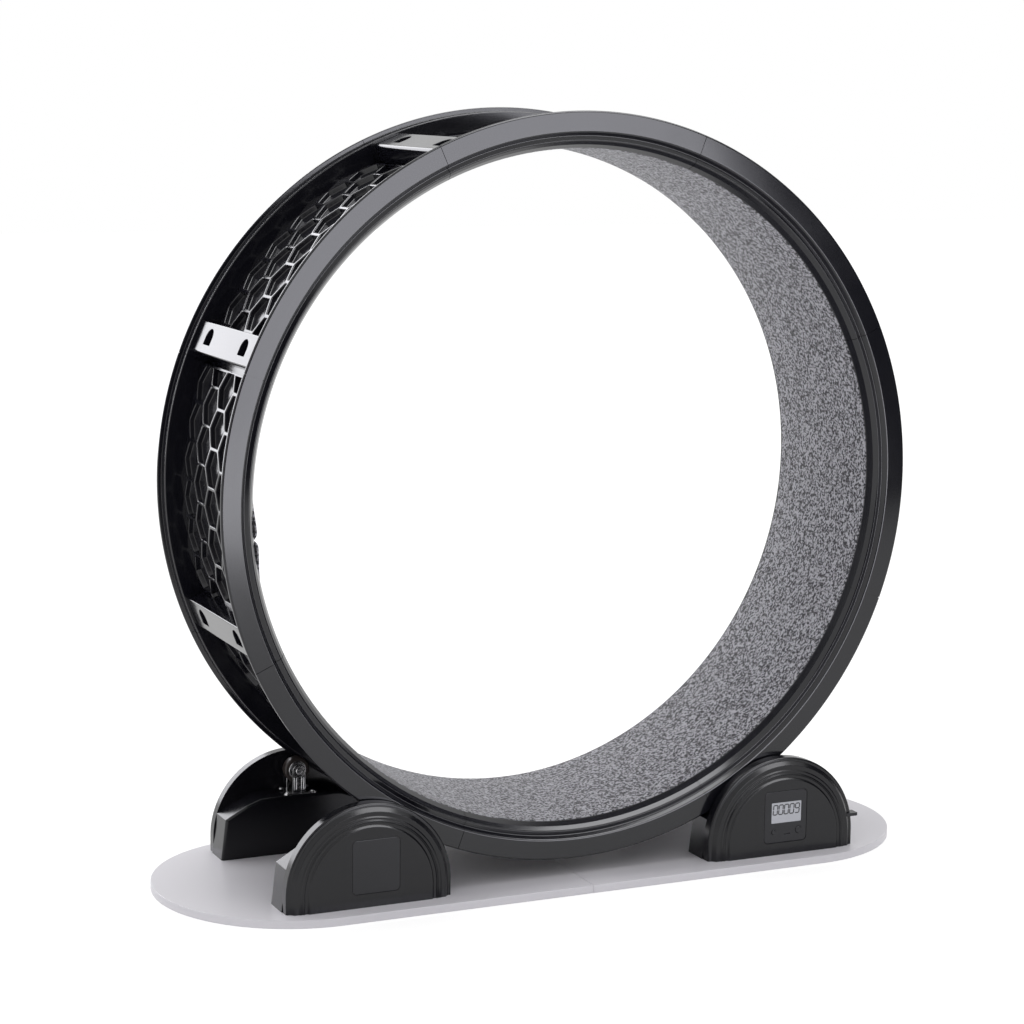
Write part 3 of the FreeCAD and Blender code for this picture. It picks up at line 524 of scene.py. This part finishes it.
def cell_centres():
    """Cells as (across, angle from the segment's start, depth share, lowest and highest distance
    along the rim that the cell may reach from its middle).  The last row of either kind lies under
    the joint block, where it is filled up to the crest."""
    reach = 10 * CELL_EDGE
    to_block = SEAM_TO_BLOCK - END_WALL
    cells = []
    for row in range(ROWS):
        last = row == ROWS - 1
        high = CELL_EDGE - to_block if last else reach
        for column in (-2, 0, 2):
            cells.append((column * COLUMN_PITCH, row_angle(row), float(not last), -reach, high))
    for row in range(ROWS + 1):
        last = row == ROWS
        low = -reach if row else 0.0
        high = -to_block if last else reach
        for column in (-1, 1):
            cells.append((column * COLUMN_PITCH, row_angle(row - 0.5), float(not last), low, high))
    return cells


def add_honeycomb(shell, start):
    """Every cell as rings carried from its edge over the rib's rounded top, down the wall and
    across the floor; the rings follow the drum's curve.  The half cells at the segment's start keep
    a wall beside their straight edge."""
    rings = np.stack([hexagon_ring(apothem, softness) for apothem, softness, _ in CELL_RINGS])
    depth = np.array([[sunk] for _, _, sunk in CELL_RINGS])
    wall = np.full_like(depth, CELL_END_WALL)
    wall[0] = 0
    for across, angle, share, low, high in cell_centres():
        along = np.clip(rings[..., 1], wall if low == 0 else low, high)
        side = np.clip(across + rings[..., 0], -DRUM_SIDE, DRUM_SIDE)
        shell.grid(on_wheel(CREST - depth * share, side, start + angle + along / CREST),
                   wrap=True)


def add_gussets(shell, start):
    """Flat crests between the outer cells and the rims: strips from the cells' slanted edges to the
    drum's side, in steps that match the cells' own points."""
    ring = hexagon_ring(CELL_EDGE, 0)
    edge = ring[:len(ring) // 6 + 1]
    for side in (-1, 1):
        inner = side * np.minimum(2 * COLUMN_PITCH + edge[:, 0], DRUM_SIDE)
        outer = np.full_like(inner, side * DRUM_SIDE)
        for row in range(ROWS):
            for up in (-1, 1):
                turn = start + np.minimum(row_angle(row) + up * edge[:, 1] / CREST,
                                          TO_BLOCK_ANGLE)
                shell.grid(on_wheel(CREST, np.stack([inner, outer]), turn[None]))


def add_seam_trench(shell, start):
    """Sunk strips at both ends of a segment: together they leave a trench along each seam."""
    across = np.linspace(-DRUM_SIDE, DRUM_SIDE, 3)[None]
    low = CREST - TRENCH_DEPTH
    at_start = (HALF_SEAM, END_WALL_ANGLE - TRENCH_LEAN, END_WALL_ANGLE)
    at_end = (TO_BLOCK_ANGLE, TO_BLOCK_ANGLE + TRENCH_LEAN, SEGMENT_ANGLE - HALF_SEAM)
    for angles, radii in ((at_start, (low, low, CREST)), (at_end, (CREST, low, low))):
        shell.grid(on_wheel(np.array(radii)[:, None], across, start + np.array(angles)[:, None]))


def add_moulded_body(shell, start):
    """Rims and running seat: the section carried round the segment, with flat ends.  A tongue, set
    in by the seam's depth, closes the gap to the next segment."""
    rim = rim_profile()
    front = np.stack([rim[:, 0], -rim[:, 1]], 1)
    section = np.concatenate([front, rim[::-1]])
    section[[0, -1], 0] = CREST - TRENCH_DEPTH
    angles = start + np.linspace(HALF_SEAM, SEGMENT_ANGLE - HALF_SEAM, 46)
    rings = on_wheel(section[None, :, 0], section[None, :, 1], angles[:, None])
    shell.grid(rings)
    for ring in (rings[0], rings[-1]):
        shell.flat([ring])
    tongue = inset(section[::-1], SEAM_DEPTH)
    over_seam = start + SEGMENT_ANGLE + np.array([-3, 3]) * HALF_SEAM
    shell.grid(on_wheel(tongue[None, :, 0], tongue[None, :, 1], over_seam[:, None]), wrap=True)


def arch_outline(middle, width, flat, straight):
    """Outline of an arched pocket, anticlockwise: a flat end and a half-round end."""
    radius = width / 2
    turn = np.linspace(0, math.pi, 25)
    arc = np.stack([middle + radius * np.cos(turn), flat - straight - radius * np.sin(turn)], 1)
    corners = rounded([(middle - radius, flat - 4, 0), (middle - radius, flat, 1.6),
                       (middle + radius, flat, 1.6), (middle + radius, flat - 4, 0)], 4,
                      closed=False)
    return np.concatenate([corners, arc[1:-1]])[::-1]


def add_joint_block(shell, start):
    """Block beside the seam: a round-edged slab with a flat top and two arched screw pockets.  Its
    edge towards the seam is rounder than the others."""
    middle = start + SEGMENT_ANGLE - BLOCK_FROM_SEAM / CREST

    def in_block(outline, height):
        """Outline (across, along) at a height over the block's middle."""
        radial = np.array([math.cos(middle), 0, math.sin(middle)])
        along = np.array([-math.sin(middle), 0, math.cos(middle)])
        lift = np.array([0, 0, AXIS_HEIGHT])
        return (lift + radial * height + outline[:, :1] * np.array([0, 1, 0])
                + outline[:, 1:] * along)

    slab = rounded_box((0, 0), 2 * BLOCK_SIDE, 2 * BLOCK_END, 4.5)
    softness = np.where(slab[:, 1:] > 12, 4.6, 1.8)
    levels = [(0.0, BLOCK_FOOT)] + [(softness * amount, BLOCK_TOP - softness * drop)
                                    for amount, drop in edge_round(1.0, 6)]
    down = [(-0.9, BLOCK_TOP), (-0.25, BLOCK_TOP - 0.25), (0.0, BLOCK_TOP - 0.9),
            (0.5, POCKET_FLOOR + 1.0), (0.8, POCKET_FLOOR + 0.3), (1.5, POCKET_FLOOR)]
    holes = []
    for side in (-1, 1):
        pocket = arch_outline(side * POCKET_ACROSS, POCKET_WIDTH, 8.9, 9.5)
        rings = np.stack([in_block(inset(pocket, amount), height) for amount, height in down])
        shell.grid(rings, wrap=True)
        shell.flat([rings[-1]])
        holes.append(rings[0])
    shell.prism(slab, in_block, levels, cap_low=False, holes=holes)


def screw_head(shell, point, up, across, radius=3.6):
    """Round screw head with a cross recess, standing on point along up."""
    up, across = np.asarray(up, float), np.asarray(across, float)
    other = np.cross(up, across)
    turn = np.linspace(0, 2 * math.pi, 24, endpoint=False)[None]
    profile = rounded([(radius, 0, 0), (radius, 1.2, 0.7), (radius * 0.45, 2.1, 0.6),
                       (0.01, 2.1, 0)], 4, closed=False)
    cross = 0.9 * (profile[:, :1] < radius * 0.62) * (np.abs(np.sin(2 * turn)) < 0.42)
    height = profile[:, 1:] - cross
    shell.grid(point + profile[:, :1, None] * (np.cos(turn)[..., None] * across
                                               + np.sin(turn)[..., None] * other)
               + height[..., None] * up, wrap=True)


def make_segments():
    """The eight segments and their screws."""
    for index in range(SEGMENTS):
        start = FIRST_SEAM + index * SEGMENT_ANGLE
        shell = Shell()
        add_honeycomb(shell, start)
        add_gussets(shell, start)
        add_seam_trench(shell, start)
        add_moulded_body(shell, start)
        segment = shell.make(f"segment_{index + 1}")
        finish_piece(segment, DRUM_GLOSS, "wheel", [f"wheel_segment_{index + 1}"])
        block = Shell()
        add_joint_block(block, start)
        finish_piece(block.make(f"joint_block_{index + 1}"), DRUM_GLOSS, "wheel")
    screws = Shell()
    for index in range(SEGMENTS):
        middle = FIRST_SEAM + (index + 1) * SEGMENT_ANGLE - BLOCK_FROM_SEAM / CREST
        up = (math.cos(middle), 0, math.sin(middle))
        for side in (-1, 1):
            point = on_wheel(POCKET_FLOOR, side * POCKET_ACROSS, middle)
            screw_head(screws, point, up, (0, 1, 0))
    finish_piece(screws.make("joint_screws"), STEEL, "wheel")


def make_mat():
    """Felt mat: a thin band round the inside.  Its ends meet at the joint, where they stand off the
    seat: the lift grows as a quarter sine over the last few millimetres, then dies away as a
    cosine."""
    length = 2 * math.pi * MAT_SURFACE
    near = np.concatenate([np.linspace(0.4, 12, 16), np.linspace(13, 64, 18)])
    along = np.concatenate([near, np.linspace(70, length - 70, 341), length - near[::-1]])
    angles = MAT_JOINT + along / MAT_SURFACE
    from_end = np.minimum(along, length - along)
    rise = np.clip(from_end, 0, MAT_END_RISE) / MAT_END_RISE
    fall = np.clip((from_end - MAT_END_RISE) / MAT_END_FALL, 0, 1)
    lift = MAT_END_LIFT * np.where(from_end < MAT_END_RISE, np.sin(rise * math.pi / 2),
                                   0.5 + 0.5 * np.cos(fall * math.pi))
    edge = rounded([(MAT_SURFACE + MAT_THICKNESS, -MAT_HALF_WIDTH, 0.3),
                    (MAT_SURFACE, -MAT_HALF_WIDTH, 1.0), (MAT_SURFACE, MAT_HALF_WIDTH, 1.0),
                    (MAT_SURFACE + MAT_THICKNESS, MAT_HALF_WIDTH, 0.3)], 3)
    shell = Shell()
    rings = on_wheel(edge[None, :, 0] - lift[:, None], edge[None, :, 1], angles[:, None])
    shell.grid(rings, wrap=True)
    shell.flat([rings[0]])
    shell.flat([rings[-1]])
    mat = shell.make("running_mat_felt", sharp=50)
    finish_piece(mat, FELT, "wheel", ["running_mat"], smooth=False)


# ------------------------------------------------------------------------------------------------
# Base board
# ------------------------------------------------------------------------------------------------

def upright(outline, height):
    """Outline (x, y) at a height."""
    return np.column_stack([outline, np.full(len(outline), height)])


def make_board():
    """Two halves of the board: half of a stadium with a finely eased edge."""
    turn = np.linspace(-math.pi / 2, math.pi / 2, 97)
    arc = np.stack([BOARD_END_CENTRE + BOARD_HALF_DEPTH * np.cos(turn),
                    BOARD_HALF_DEPTH * np.sin(turn)], 1)
    right = np.concatenate([[[BOARD_HALF_JOINT, -BOARD_HALF_DEPTH]], arc,
                            [[BOARD_HALF_JOINT, BOARD_HALF_DEPTH]]])
    left = (right * [-1, 1])[::-1]
    levels = [(0.5, 0.0), (0.0, 0.5), (0.0, BOARD_TOP - 0.7), (0.25, BOARD_TOP - 0.2),
              (0.8, BOARD_TOP)]
    for name, outline in (("left", left), ("right", right)):
        shell = Shell()
        shell.prism(outline, upright, levels)
        finish_piece(shell.make(f"board_{name}"), LAMINATE, "base",
                     [f"base_board_{name}"])


# ------------------------------------------------------------------------------------------------
# Housings
# ------------------------------------------------------------------------------------------------

def in_housing(end, side):
    """Mapping from a housing's own frame (x from its middle, distance from the wheel's middle
    plane, height above the board) to the part's frame; rear housings are turned half round."""
    def place(x, out, up):
        x, out, up = np.broadcast_arrays(np.asarray(x, float), out, up)
        turned = 1 if side < 0 else -1
        return np.stack([end * ROLLER_OFFSET + turned * x, side * out, BOARD_TOP + up], -1)
    return place


def arch_path():
    """Path of the arch as (x share, height of the centre, z share): up one side, over and down."""
    turn = np.linspace(0, math.pi, 97)
    over = np.stack([np.cos(turn), np.full_like(turn, ARCH_CENTRE), np.sin(turn)], 1)
    foot = np.array([[1, 0, 0]], float)
    return np.concatenate([foot, over, foot * [-1, 1, 1]])


def add_arch(shell, place, hole):
    """Stepped moulding carried along the arch's path, with a flat face in front and behind.  A hole
    in the face, if there is one, is a shallow well for a panel."""
    profile = rounded([(ARCH_RADIUS, 141.9, 0), (ARCH_RADIUS, 157.0, 2.6), (109.8, 157.4, 0.8),
                       (104.8, 162.2, 0.9), (98.9, 162.0, 0.5), (97.3, 163.4, 0.5),
                       (94.6, 162.6, 0.5), (92.6, 164.2, 0.6), (91.3, 162.6, 0.4),
                       (87.6, 162.6, 0.5), (85.4, FACE, 0.8), (83.5, FACE, 0)], 5,
                      closed=False)
    path = arch_path()
    x = path[:, None, 0] * profile[None, :, 0]
    up = path[:, None, 1] + path[:, None, 2] * profile[None, :, 0]
    rings = place(x, profile[None, :, 1], up)
    shell.grid(rings)
    shell.flat([rings[:, 0]])
    loops = [rings[:, -1]]
    if hole is not None:
        walls = np.stack([place(hole[:, 0], FACE - d, hole[:, 1]) for d in (0, 3.0)])
        shell.grid(walls, wrap=True)
        shell.flat([walls[-1]])
        loops.append(walls[0])
    shell.flat(loops)


def saddle_outline():
    """Inner block seen from the front, anticlockwise from its right foot."""
    right = [(116.5, 0, 0), (109.8, 56.2, 1.5), (80, 73.2, 12), (60, 80.6, 14), (46, 81.8, 20)]
    left = [(-x, up, radius) for x, up, radius in reversed(right)]
    return rounded(right + left, 6)


def add_saddle(shell, place):
    """Inner block: the outline carried back from the arch, rounded over at its inner side by
    shrinking it towards the middle of its foot."""
    outline = saddle_outline()
    rings = []
    for amount, drop in [(0, SADDLE_DEPTH)] + edge_round(4.0, 5):
        rings.append(place(outline[:, 0] * (1 - amount / ARCH_RADIUS), SADDLE_BACK + drop,
                           outline[:, 1] * (1 - amount / SADDLE_HEIGHT)))
    rings = np.stack(rings)
    shell.grid(rings, wrap=True)
    shell.flat([rings[0]])
    shell.flat([rings[-1]])


def make_housings():
    """Four housings, each one moulding."""
    for corner, (end, side) in CORNERS.items():
        place = in_housing(end, side)
        shell = Shell()
        hole = None
        if corner in PANELS:
            x, up, width, height = PANELS[corner]
            hole = rounded_box((x, up), width + 0.7, height + 0.7, PANEL_CORNER + 0.3)
        add_arch(shell, place, hole)
        add_saddle(shell, place)
        finish_piece(shell.make(f"housing_shell_{corner}"), HOUSING, "base",
                     [f"housing_{corner}"])


# ------------------------------------------------------------------------------------------------
# Panels and counter
# ------------------------------------------------------------------------------------------------

def facing(place):
    """Mapping for outlines on a housing's face: height is measured out of the face."""
    def frame_of(outline, height):
        return place(outline[:, 0], FACE + height, outline[:, 1])
    return frame_of


def make_blank_panel():
    """Plain panel in the front left housing."""
    place = in_housing(*CORNERS["front_left"])
    x, up, width, height = PANELS["front_left"]
    shell = Shell()
    shell.prism(rounded_box((x, up), width, height, PANEL_CORNER), facing(place),
                [(0, -3.0), (0, -0.5), (0.15, -0.15), (0.5, 0.0)])
    finish_piece(shell.make("blank_cover"), PANEL, "base", ["blank_panel"])


def add_digit(shell, frame_of, digit, left, low):
    """Seven-bar digit of slanted, pointed bars, a little behind the panel's face."""
    width, height, half = DIGIT_WIDTH, DIGIT_HEIGHT, DIGIT_HEIGHT / 2
    bars = [((0, height), (width, height)), ((width, height), (width, half)),
            ((width, half), (width, 0)), ((width, 0), (0, 0)), ((0, 0), (0, half)),
            ((0, half), (0, height)), ((0, half), (width, half))]
    for shown, (a, b) in zip(BARS_SHOWN[digit], bars):
        if not shown:
            continue
        a, b = np.array(a, float), np.array(b, float)
        along = (b - a) / np.linalg.norm(b - a)
        other = np.array([-along[1], along[0]]) * DIGIT_BAR / 2
        a, b = a + along * DIGIT_GAP, b - along * DIGIT_GAP
        tip = along * DIGIT_BAR / 2
        outline = np.stack([a, a + tip - other, b - tip - other, b, b - tip + other,
                            a + tip + other])
        outline[:, 0] += outline[:, 1] * DIGIT_SLANT
        outline += [left, low]
        shell.prism(outline, frame_of, [(0, -0.48), (0, -0.34)])


def make_counter():
    """Case, display with digits, two buttons and the slot between them."""
    place = in_housing(*CORNERS["front_right"])
    x, up, width, height = PANELS["front_right"]
    on_face = facing(place)
    display = (x + DISPLAY_SHIFT[0], up + DISPLAY_SHIFT[1])
    window = rounded_box(display, DISPLAY_SIZE[0] + 2 * DISPLAY_GAP,
                         DISPLAY_SIZE[1] + 2 * DISPLAY_GAP, 1.2, 4)[::-1]
    slot = rounded_box((x + SLOT_SHIFT[0], up + SLOT_SHIFT[1]), 9, 1.6, 0.7, 3)[::-1]
    wells = [circle((x + shift, up + BUTTON_LEVEL), radius + BUTTON_GAP)[::-1]
             for shift, radius in BUTTONS.values()]
    shell = Shell()
    holes = []
    for outline, depth in ((window, 1.2), (slot, 1.5), (wells[0], 2.5), (wells[1], 2.5)):
        down = ((0.3, 0.0), (0.08, -0.08), (0.0, -0.3), (0.0, -depth))
        rings = np.stack([on_face(inset(outline, amount), level) for amount, level in down])
        shell.grid(rings, wrap=True)
        if outline is not window:
            shell.flat([rings[-1]])
        holes.append(rings[0])
    levels = [(0, -3.0)] + [(amount, -drop) for amount, drop in edge_round(0.9)]
    shell.prism(rounded_box((x, up), width, height, PANEL_CORNER), on_face, levels, holes=holes)
    finish_piece(shell.make("counter_front"), SATIN, "base", ["counter_case"])

    pane = Shell()
    pane.prism(rounded_box(display, *DISPLAY_SIZE, 1.1, 4), on_face, [(0, -1.2), (0, -0.5)])
    finish_piece(pane.make("display_pane"), DISPLAY, "base",
                 ["counter_display"], smooth=False)

    digits = Shell()
    for index, digit in enumerate(READING):
        add_digit(digits, on_face, digit, x + DIGIT_START[0] + index * DIGIT_PITCH,
                  up + DIGIT_START[1])
    finish_piece(digits.make("display_digits"), INK, "base", smooth=False)

    for name, (shift, radius) in BUTTONS.items():
        button = Shell()
        levels = [(0, -5.0)] + [(a, 1.0 - d) for a, d in edge_round(0.7)]
        levels += [(radius * 0.6, 1.0), (radius * 0.75, 0.85)]
        button.prism(circle((x + shift, up + BUTTON_LEVEL), radius), on_face, levels)
        finish_piece(button.make(f"{name}_cap"), SATIN, name, [name])


# ------------------------------------------------------------------------------------------------
# Brackets and rollers
# ------------------------------------------------------------------------------------------------

def add_bracket(shell, place):
    """Pressed bracket: a round-cornered plate with a turned-up edge, and two legs with round heads
    and a rib pressed down the middle of each."""
    rise = SADDLE_TOP - BOARD_TOP
    axle = ROLLER_HEIGHT - BOARD_TOP

    def flat_on_saddle(outline, height):
        return place(outline[:, 0], outline[:, 1], rise + height)

    plate = rounded_box((0, ROLLER_MIDDLE - PLATE_SHIFT), 48, 36, 5)
    shell.prism(plate, flat_on_saddle, [(0, 0), (0, 1.5), (0.2, 2.0), (0.7, 2.2)])
    turn = np.linspace(0, math.pi, 25)
    head = np.stack([9 * np.cos(turn), axle + 9 * np.sin(turn)], 1)
    leg = np.concatenate([[[10, rise + 1]], head, [[-10, rise + 1]]])
    rib = rounded([(3.2, rise + 3, 1.5), (2.6, axle - 8, 1.5), (-2.6, axle - 8, 1.5),
                   (-3.2, rise + 3, 1.5)], 4)
    thick = STEEL_GAUGE
    for low, away in ((ROLLER_MIDDLE - 13.2 + thick, -1), (ROLLER_MIDDLE + 11, 1)):

        def standing(outline, height, low=low, away=away):
            return place(outline[:, 0], low + away * height, outline[:, 1])

        shell.prism(leg, standing, [(0.3, 0), (0, 0.3), (0, thick - 0.5), (0.2, thick - 0.15),
                                    (0.6, thick)])
        for shift in (-5.4, 5.4):
            shell.prism(rib * [0.8, 1] + [shift, 0], standing,
                        [(0, thick - 0.3), (0.3, thick + 0.5), (1.0, thick + 0.9)],
                        cap_low=False)
        rivet = [(0, thick - 0.2)] + [(a, thick + 1.5 - d) for a, d in edge_round(1.0)]
        shell.prism(circle((0, axle), 4.6, 32), standing, rivet, cap_low=False)
    pin = circle((0, axle), AXLE_RADIUS, 24)
    shell.grid(np.stack([place(pin[:, 0], out, pin[:, 1])
                         for out in (ROLLER_MIDDLE - 11, ROLLER_MIDDLE + 11)]), wrap=True)


def make_brackets():
    """The four brackets with their plate screws."""
    shell = Shell()
    for end, side in CORNERS.values():
        place = in_housing(end, side)
        add_bracket(shell, place)
        for x in (-18.5, 18.5):
            for out in (-13.5, 13.5):
                point = place(x, ROLLER_MIDDLE - PLATE_SHIFT + out, SADDLE_TOP - BOARD_TOP + 2.0)
                screw_head(shell, point, (0, 0, 1), (1, 0, 0), 3.4)
    finish_piece(shell.make("bracket_set"), STEEL, "base", ["roller_brackets"])


def round_axle(profile, end, side):
    """Closed profile (radius, distance from the roller's middle) carried round a roller's axle."""
    profile = np.concatenate([profile, profile[:1]])
    turn = np.linspace(0, 2 * math.pi, 72, endpoint=False)
    x = end * ROLLER_OFFSET + profile[:, :1] * np.cos(turn)
    z = ROLLER_HEIGHT + profile[:, :1] * np.sin(turn)
    return np.stack(np.broadcast_arrays(x, side * ROLLER_MIDDLE + profile[:, 1:], z), -1)


def make_rollers():
    """Each roller: a tyre with rounded shoulders and a bright hub ring on either side."""
    tread = rounded([(HUB_RADIUS, -6.4, 0.5), (12.9, -7, 0.3), (TYRE_RADIUS, -7, 3.0),
                     (TYRE_RADIUS, 7, 3.0), (12.9, 7, 0.3), (HUB_RADIUS, 6.4, 0.5)], 5)
    ring = rounded([(3.1, -7.2, 0), (5.2, -7.2, 0.6), (6.0, -6.0, 0.6), (10.2, -6.0, 0.6),
                    (10.8, -7.4, 0.5), (HUB_RADIUS, -7.4, 0.8), (HUB_RADIUS, 7.4, 0.8),
                    (10.8, 7.4, 0.5), (10.2, 6.0, 0.6), (6.0, 6.0, 0.6), (5.2, 7.2, 0.6),
                    (3.1, 7.2, 0)], 4)
    for corner, (end, side) in CORNERS.items():
        tyre = Shell()
        tyre.grid(round_axle(tread, end, side), wrap=True)
        finish_piece(tyre.make(f"tyre_{corner}"), TYRE, f"roller_{corner}",
                     [f"roller_{corner}"])
        hub = Shell()
        hub.grid(round_axle(ring, end, side), wrap=True)
        finish_piece(hub.make(f"hub_{corner}"), STEEL, f"roller_{corner}")


make_segments()
make_mat()
make_board()
make_housings()
make_blank_panel()
make_counter()
make_brackets()
make_rollers()


def dress_node(name, material):
    """Give a carried-over node its own finish."""
    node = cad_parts[name]
    node.data.materials.clear()
    node.data.materials.append(material)


dress_node("joining_straps", STEEL)
dress_node("counter_circuit", CIRCUIT)
dress_node("lap_sensor", SATIN)
dress_node("wheel_magnet", STEEL)
dress_node("lock_slide", SATIN)


# ------------------------------------------------------------------------------------------------
# Studio
# ------------------------------------------------------------------------------------------------

# Camera: yaw, pitch and roll in degrees, its place in metres and its lens in millimetres
CAMERA_TURN = (24.568, 9.449, 0.673)
CAMERA_PLACE = (-1.51075, -3.21947, 1.07814)
CAMERA_LENS = 92.35
FLOOR_GLOW = 1.35
FLOOR_HALF = 14.0


def add_camera():
    """Camera that looks at the wheel from the front, from a little to the left and above."""
    yaw, pitch, roll = (math.radians(a) for a in CAMERA_TURN)
    ahead = Vector((math.sin(yaw) * math.cos(pitch), math.cos(yaw) * math.cos(pitch),
                    -math.sin(pitch)))
    right = Vector((math.cos(yaw), -math.sin(yaw), 0))
    up = right.cross(ahead)
    level_right = math.cos(roll) * right + math.sin(roll) * up
    level_up = -math.sin(roll) * right + math.cos(roll) * up
    data = bpy.data.cameras.new("camera")
    data.lens = CAMERA_LENS
    data.sensor_width = 36.0
    data.clip_end = 50
    camera = bpy.data.objects.new("camera", data)
    camera.matrix_world = Matrix((
        (level_right.x, level_up.x, -ahead.x, CAMERA_PLACE[0]),
        (level_right.y, level_up.y, -ahead.y, CAMERA_PLACE[1]),
        (level_right.z, level_up.z, -ahead.z, CAMERA_PLACE[2]),
        (0, 0, 0, 1)))
    bpy.context.scene.collection.objects.link(camera)
    bpy.context.scene.camera = camera


def place_lamp(name, data, place, target):
    """Link a lamp at a place, facing a target."""
    lamp = bpy.data.objects.new(name, data)
    lamp.location = place
    lamp.rotation_euler = (Vector(target) - Vector(place)).to_track_quat("-Z", "Y").to_euler()
    lamp.visible_camera = False
    bpy.context.scene.collection.objects.link(lamp)
    return lamp


def add_panel(name, place, target, size, radiance, tint):
    """Rectangular light panel that shows in gloss only; its power is pi times area and radiance."""
    data = bpy.data.lights.new(name, "AREA")
    data.shape = "RECTANGLE"
    data.size, data.size_y = size
    data.energy = radiance * math.pi * size[0] * size[1]
    data.color = tint
    place_lamp(name, data, place, target).visible_diffuse = False


def add_sky_lamp():
    """Broad light from above and a little behind, that gives the floor its soft shadows."""
    data = bpy.data.lights.new("sky_lamp", "SUN")
    data.energy = 1.15
    data.angle = math.radians(60)
    place_lamp("sky_lamp", data, (-0.1, 0.25, 3.0), (0, 0, 2.0)).visible_glossy = False


def seen_directly(nodes, links, otherwise, seen):
    """Socket that is seen for rays from the camera, gloss and glass, and otherwise for the rest."""
    path = nodes.new("ShaderNodeLightPath")
    total = path.outputs["Is Camera Ray"]
    for name in ("Is Glossy Ray", "Is Transmission Ray"):
        larger = nodes.new("ShaderNodeMath")
        larger.operation = "MAXIMUM"
        links.new(total, larger.inputs[0])
        links.new(path.outputs[name], larger.inputs[1])
        total = larger.outputs[0]
    choice = nodes.new("ShaderNodeMapRange")
    choice.inputs["To Min"].default_value = otherwise
    choice.inputs["To Max"].default_value = seen
    links.new(total, choice.inputs["Value"])
    return choice.outputs[0]


def add_floor():
    """Pale floor round the object, made even white where it is seen directly."""
    mesh = bpy.data.meshes.new("floor")
    corners = [(-1, -1), (1, -1), (1, 1), (-1, 1)]
    mesh.from_pydata([(x * FLOOR_HALF, y * FLOOR_HALF, 0) for x, y in corners], [],
                     [(0, 1, 2, 3)])
    floor = bpy.data.objects.new("floor", mesh)
    floor.location.z = -0.0002
    bpy.context.scene.collection.objects.link(floor)
    paint = Paint("floor_white", Specular_IOR_Level=0.1)
    cloud = paint.noise(0.8, 1)
    mesh.materials.append(paint.feed(
        Base_Color=paint.blend(cloud, (0.93, 0.93, 0.93), (0.95, 0.95, 0.95)),
        Roughness=paint.spread(cloud, 0, 1, 0.8, 0.9)))
    glow = paint.tree.nodes.new("ShaderNodeEmission")
    glow.inputs["Strength"].default_value = FLOOR_GLOW
    mix = paint.tree.nodes.new("ShaderNodeMixShader")
    links = paint.tree.links
    links.new(seen_directly(paint.tree.nodes, links, 0.0, 0.5), mix.inputs["Fac"])
    links.new(paint.shader.outputs["BSDF"], mix.inputs[1])
    links.new(glow.outputs["Emission"], mix.inputs[2])
    links.new(mix.outputs["Shader"], paint.tree.nodes["Material Output"].inputs["Surface"])


def add_dark_wall():
    """Black cloth behind the camera and at the right, which shows in gloss only."""
    plan = [(-3.6, -4.2), (1.6, -4.2), (1.75, -2.9), (3.0, -2.2), (3.1, 0.4)]
    points = [(x, y, z) for z in (0.0, 2.2) for x, y in plan]
    count = len(plan)
    faces = [(i, i + 1, i + 1 + count, i + count) for i in range(count - 1)]
    mesh = bpy.data.meshes.new("dark_wall")
    mesh.from_pydata(points, [], faces)
    wall = bpy.data.objects.new("dark_wall", mesh)
    bpy.context.scene.collection.objects.link(wall)
    paint = Paint("dark_cloth", Specular_IOR_Level=0.0)
    cloud = paint.noise(3, 2)
    mesh.materials.append(paint.feed(
        Base_Color=paint.blend(cloud, (0.02, 0.02, 0.022), (0.03, 0.03, 0.033)),
        Roughness=paint.spread(cloud, 0, 1, 0.9, 1.0)))
    wall.visible_camera = wall.visible_diffuse = wall.visible_shadow = False
    wall.visible_transmission = False


def add_world():
    """Even white surroundings for what the camera, gloss and glass see, and softer light."""
    world = bpy.data.worlds.new("studio")
    world.use_nodes = True
    bpy.context.scene.world = world
    nodes, links = world.node_tree.nodes, world.node_tree.links
    background = nodes["Background"]
    links.new(seen_directly(nodes, links, 0.7, 1.0), background.inputs["Strength"])
    background.inputs["Color"].default_value = (1, 1, 1, 1)


add_camera()
add_world()
add_floor()
add_dark_wall()
add_sky_lamp()
add_panel("front_panel", (0.84, -2.6, 0.9), (0.84, 0.0, 0.9), (1.5, 1.8), 6.0, (0.93, 0.93, 1.0))
add_panel("rear_left_panel", (-1.4, 3.2, 1.4), (-1.4, 0, 1.4), (2.8, 2.3), 3.6, (0.95, 0.95, 1.0))
add_panel("top_panel", (0.9, -0.6, 3.2), (0.3, -0.2, 0), (2.2, 2.6), 6.0, (0.97, 0.97, 1.0))

bpy.context.scene.view_settings.view_transform = "Standard"
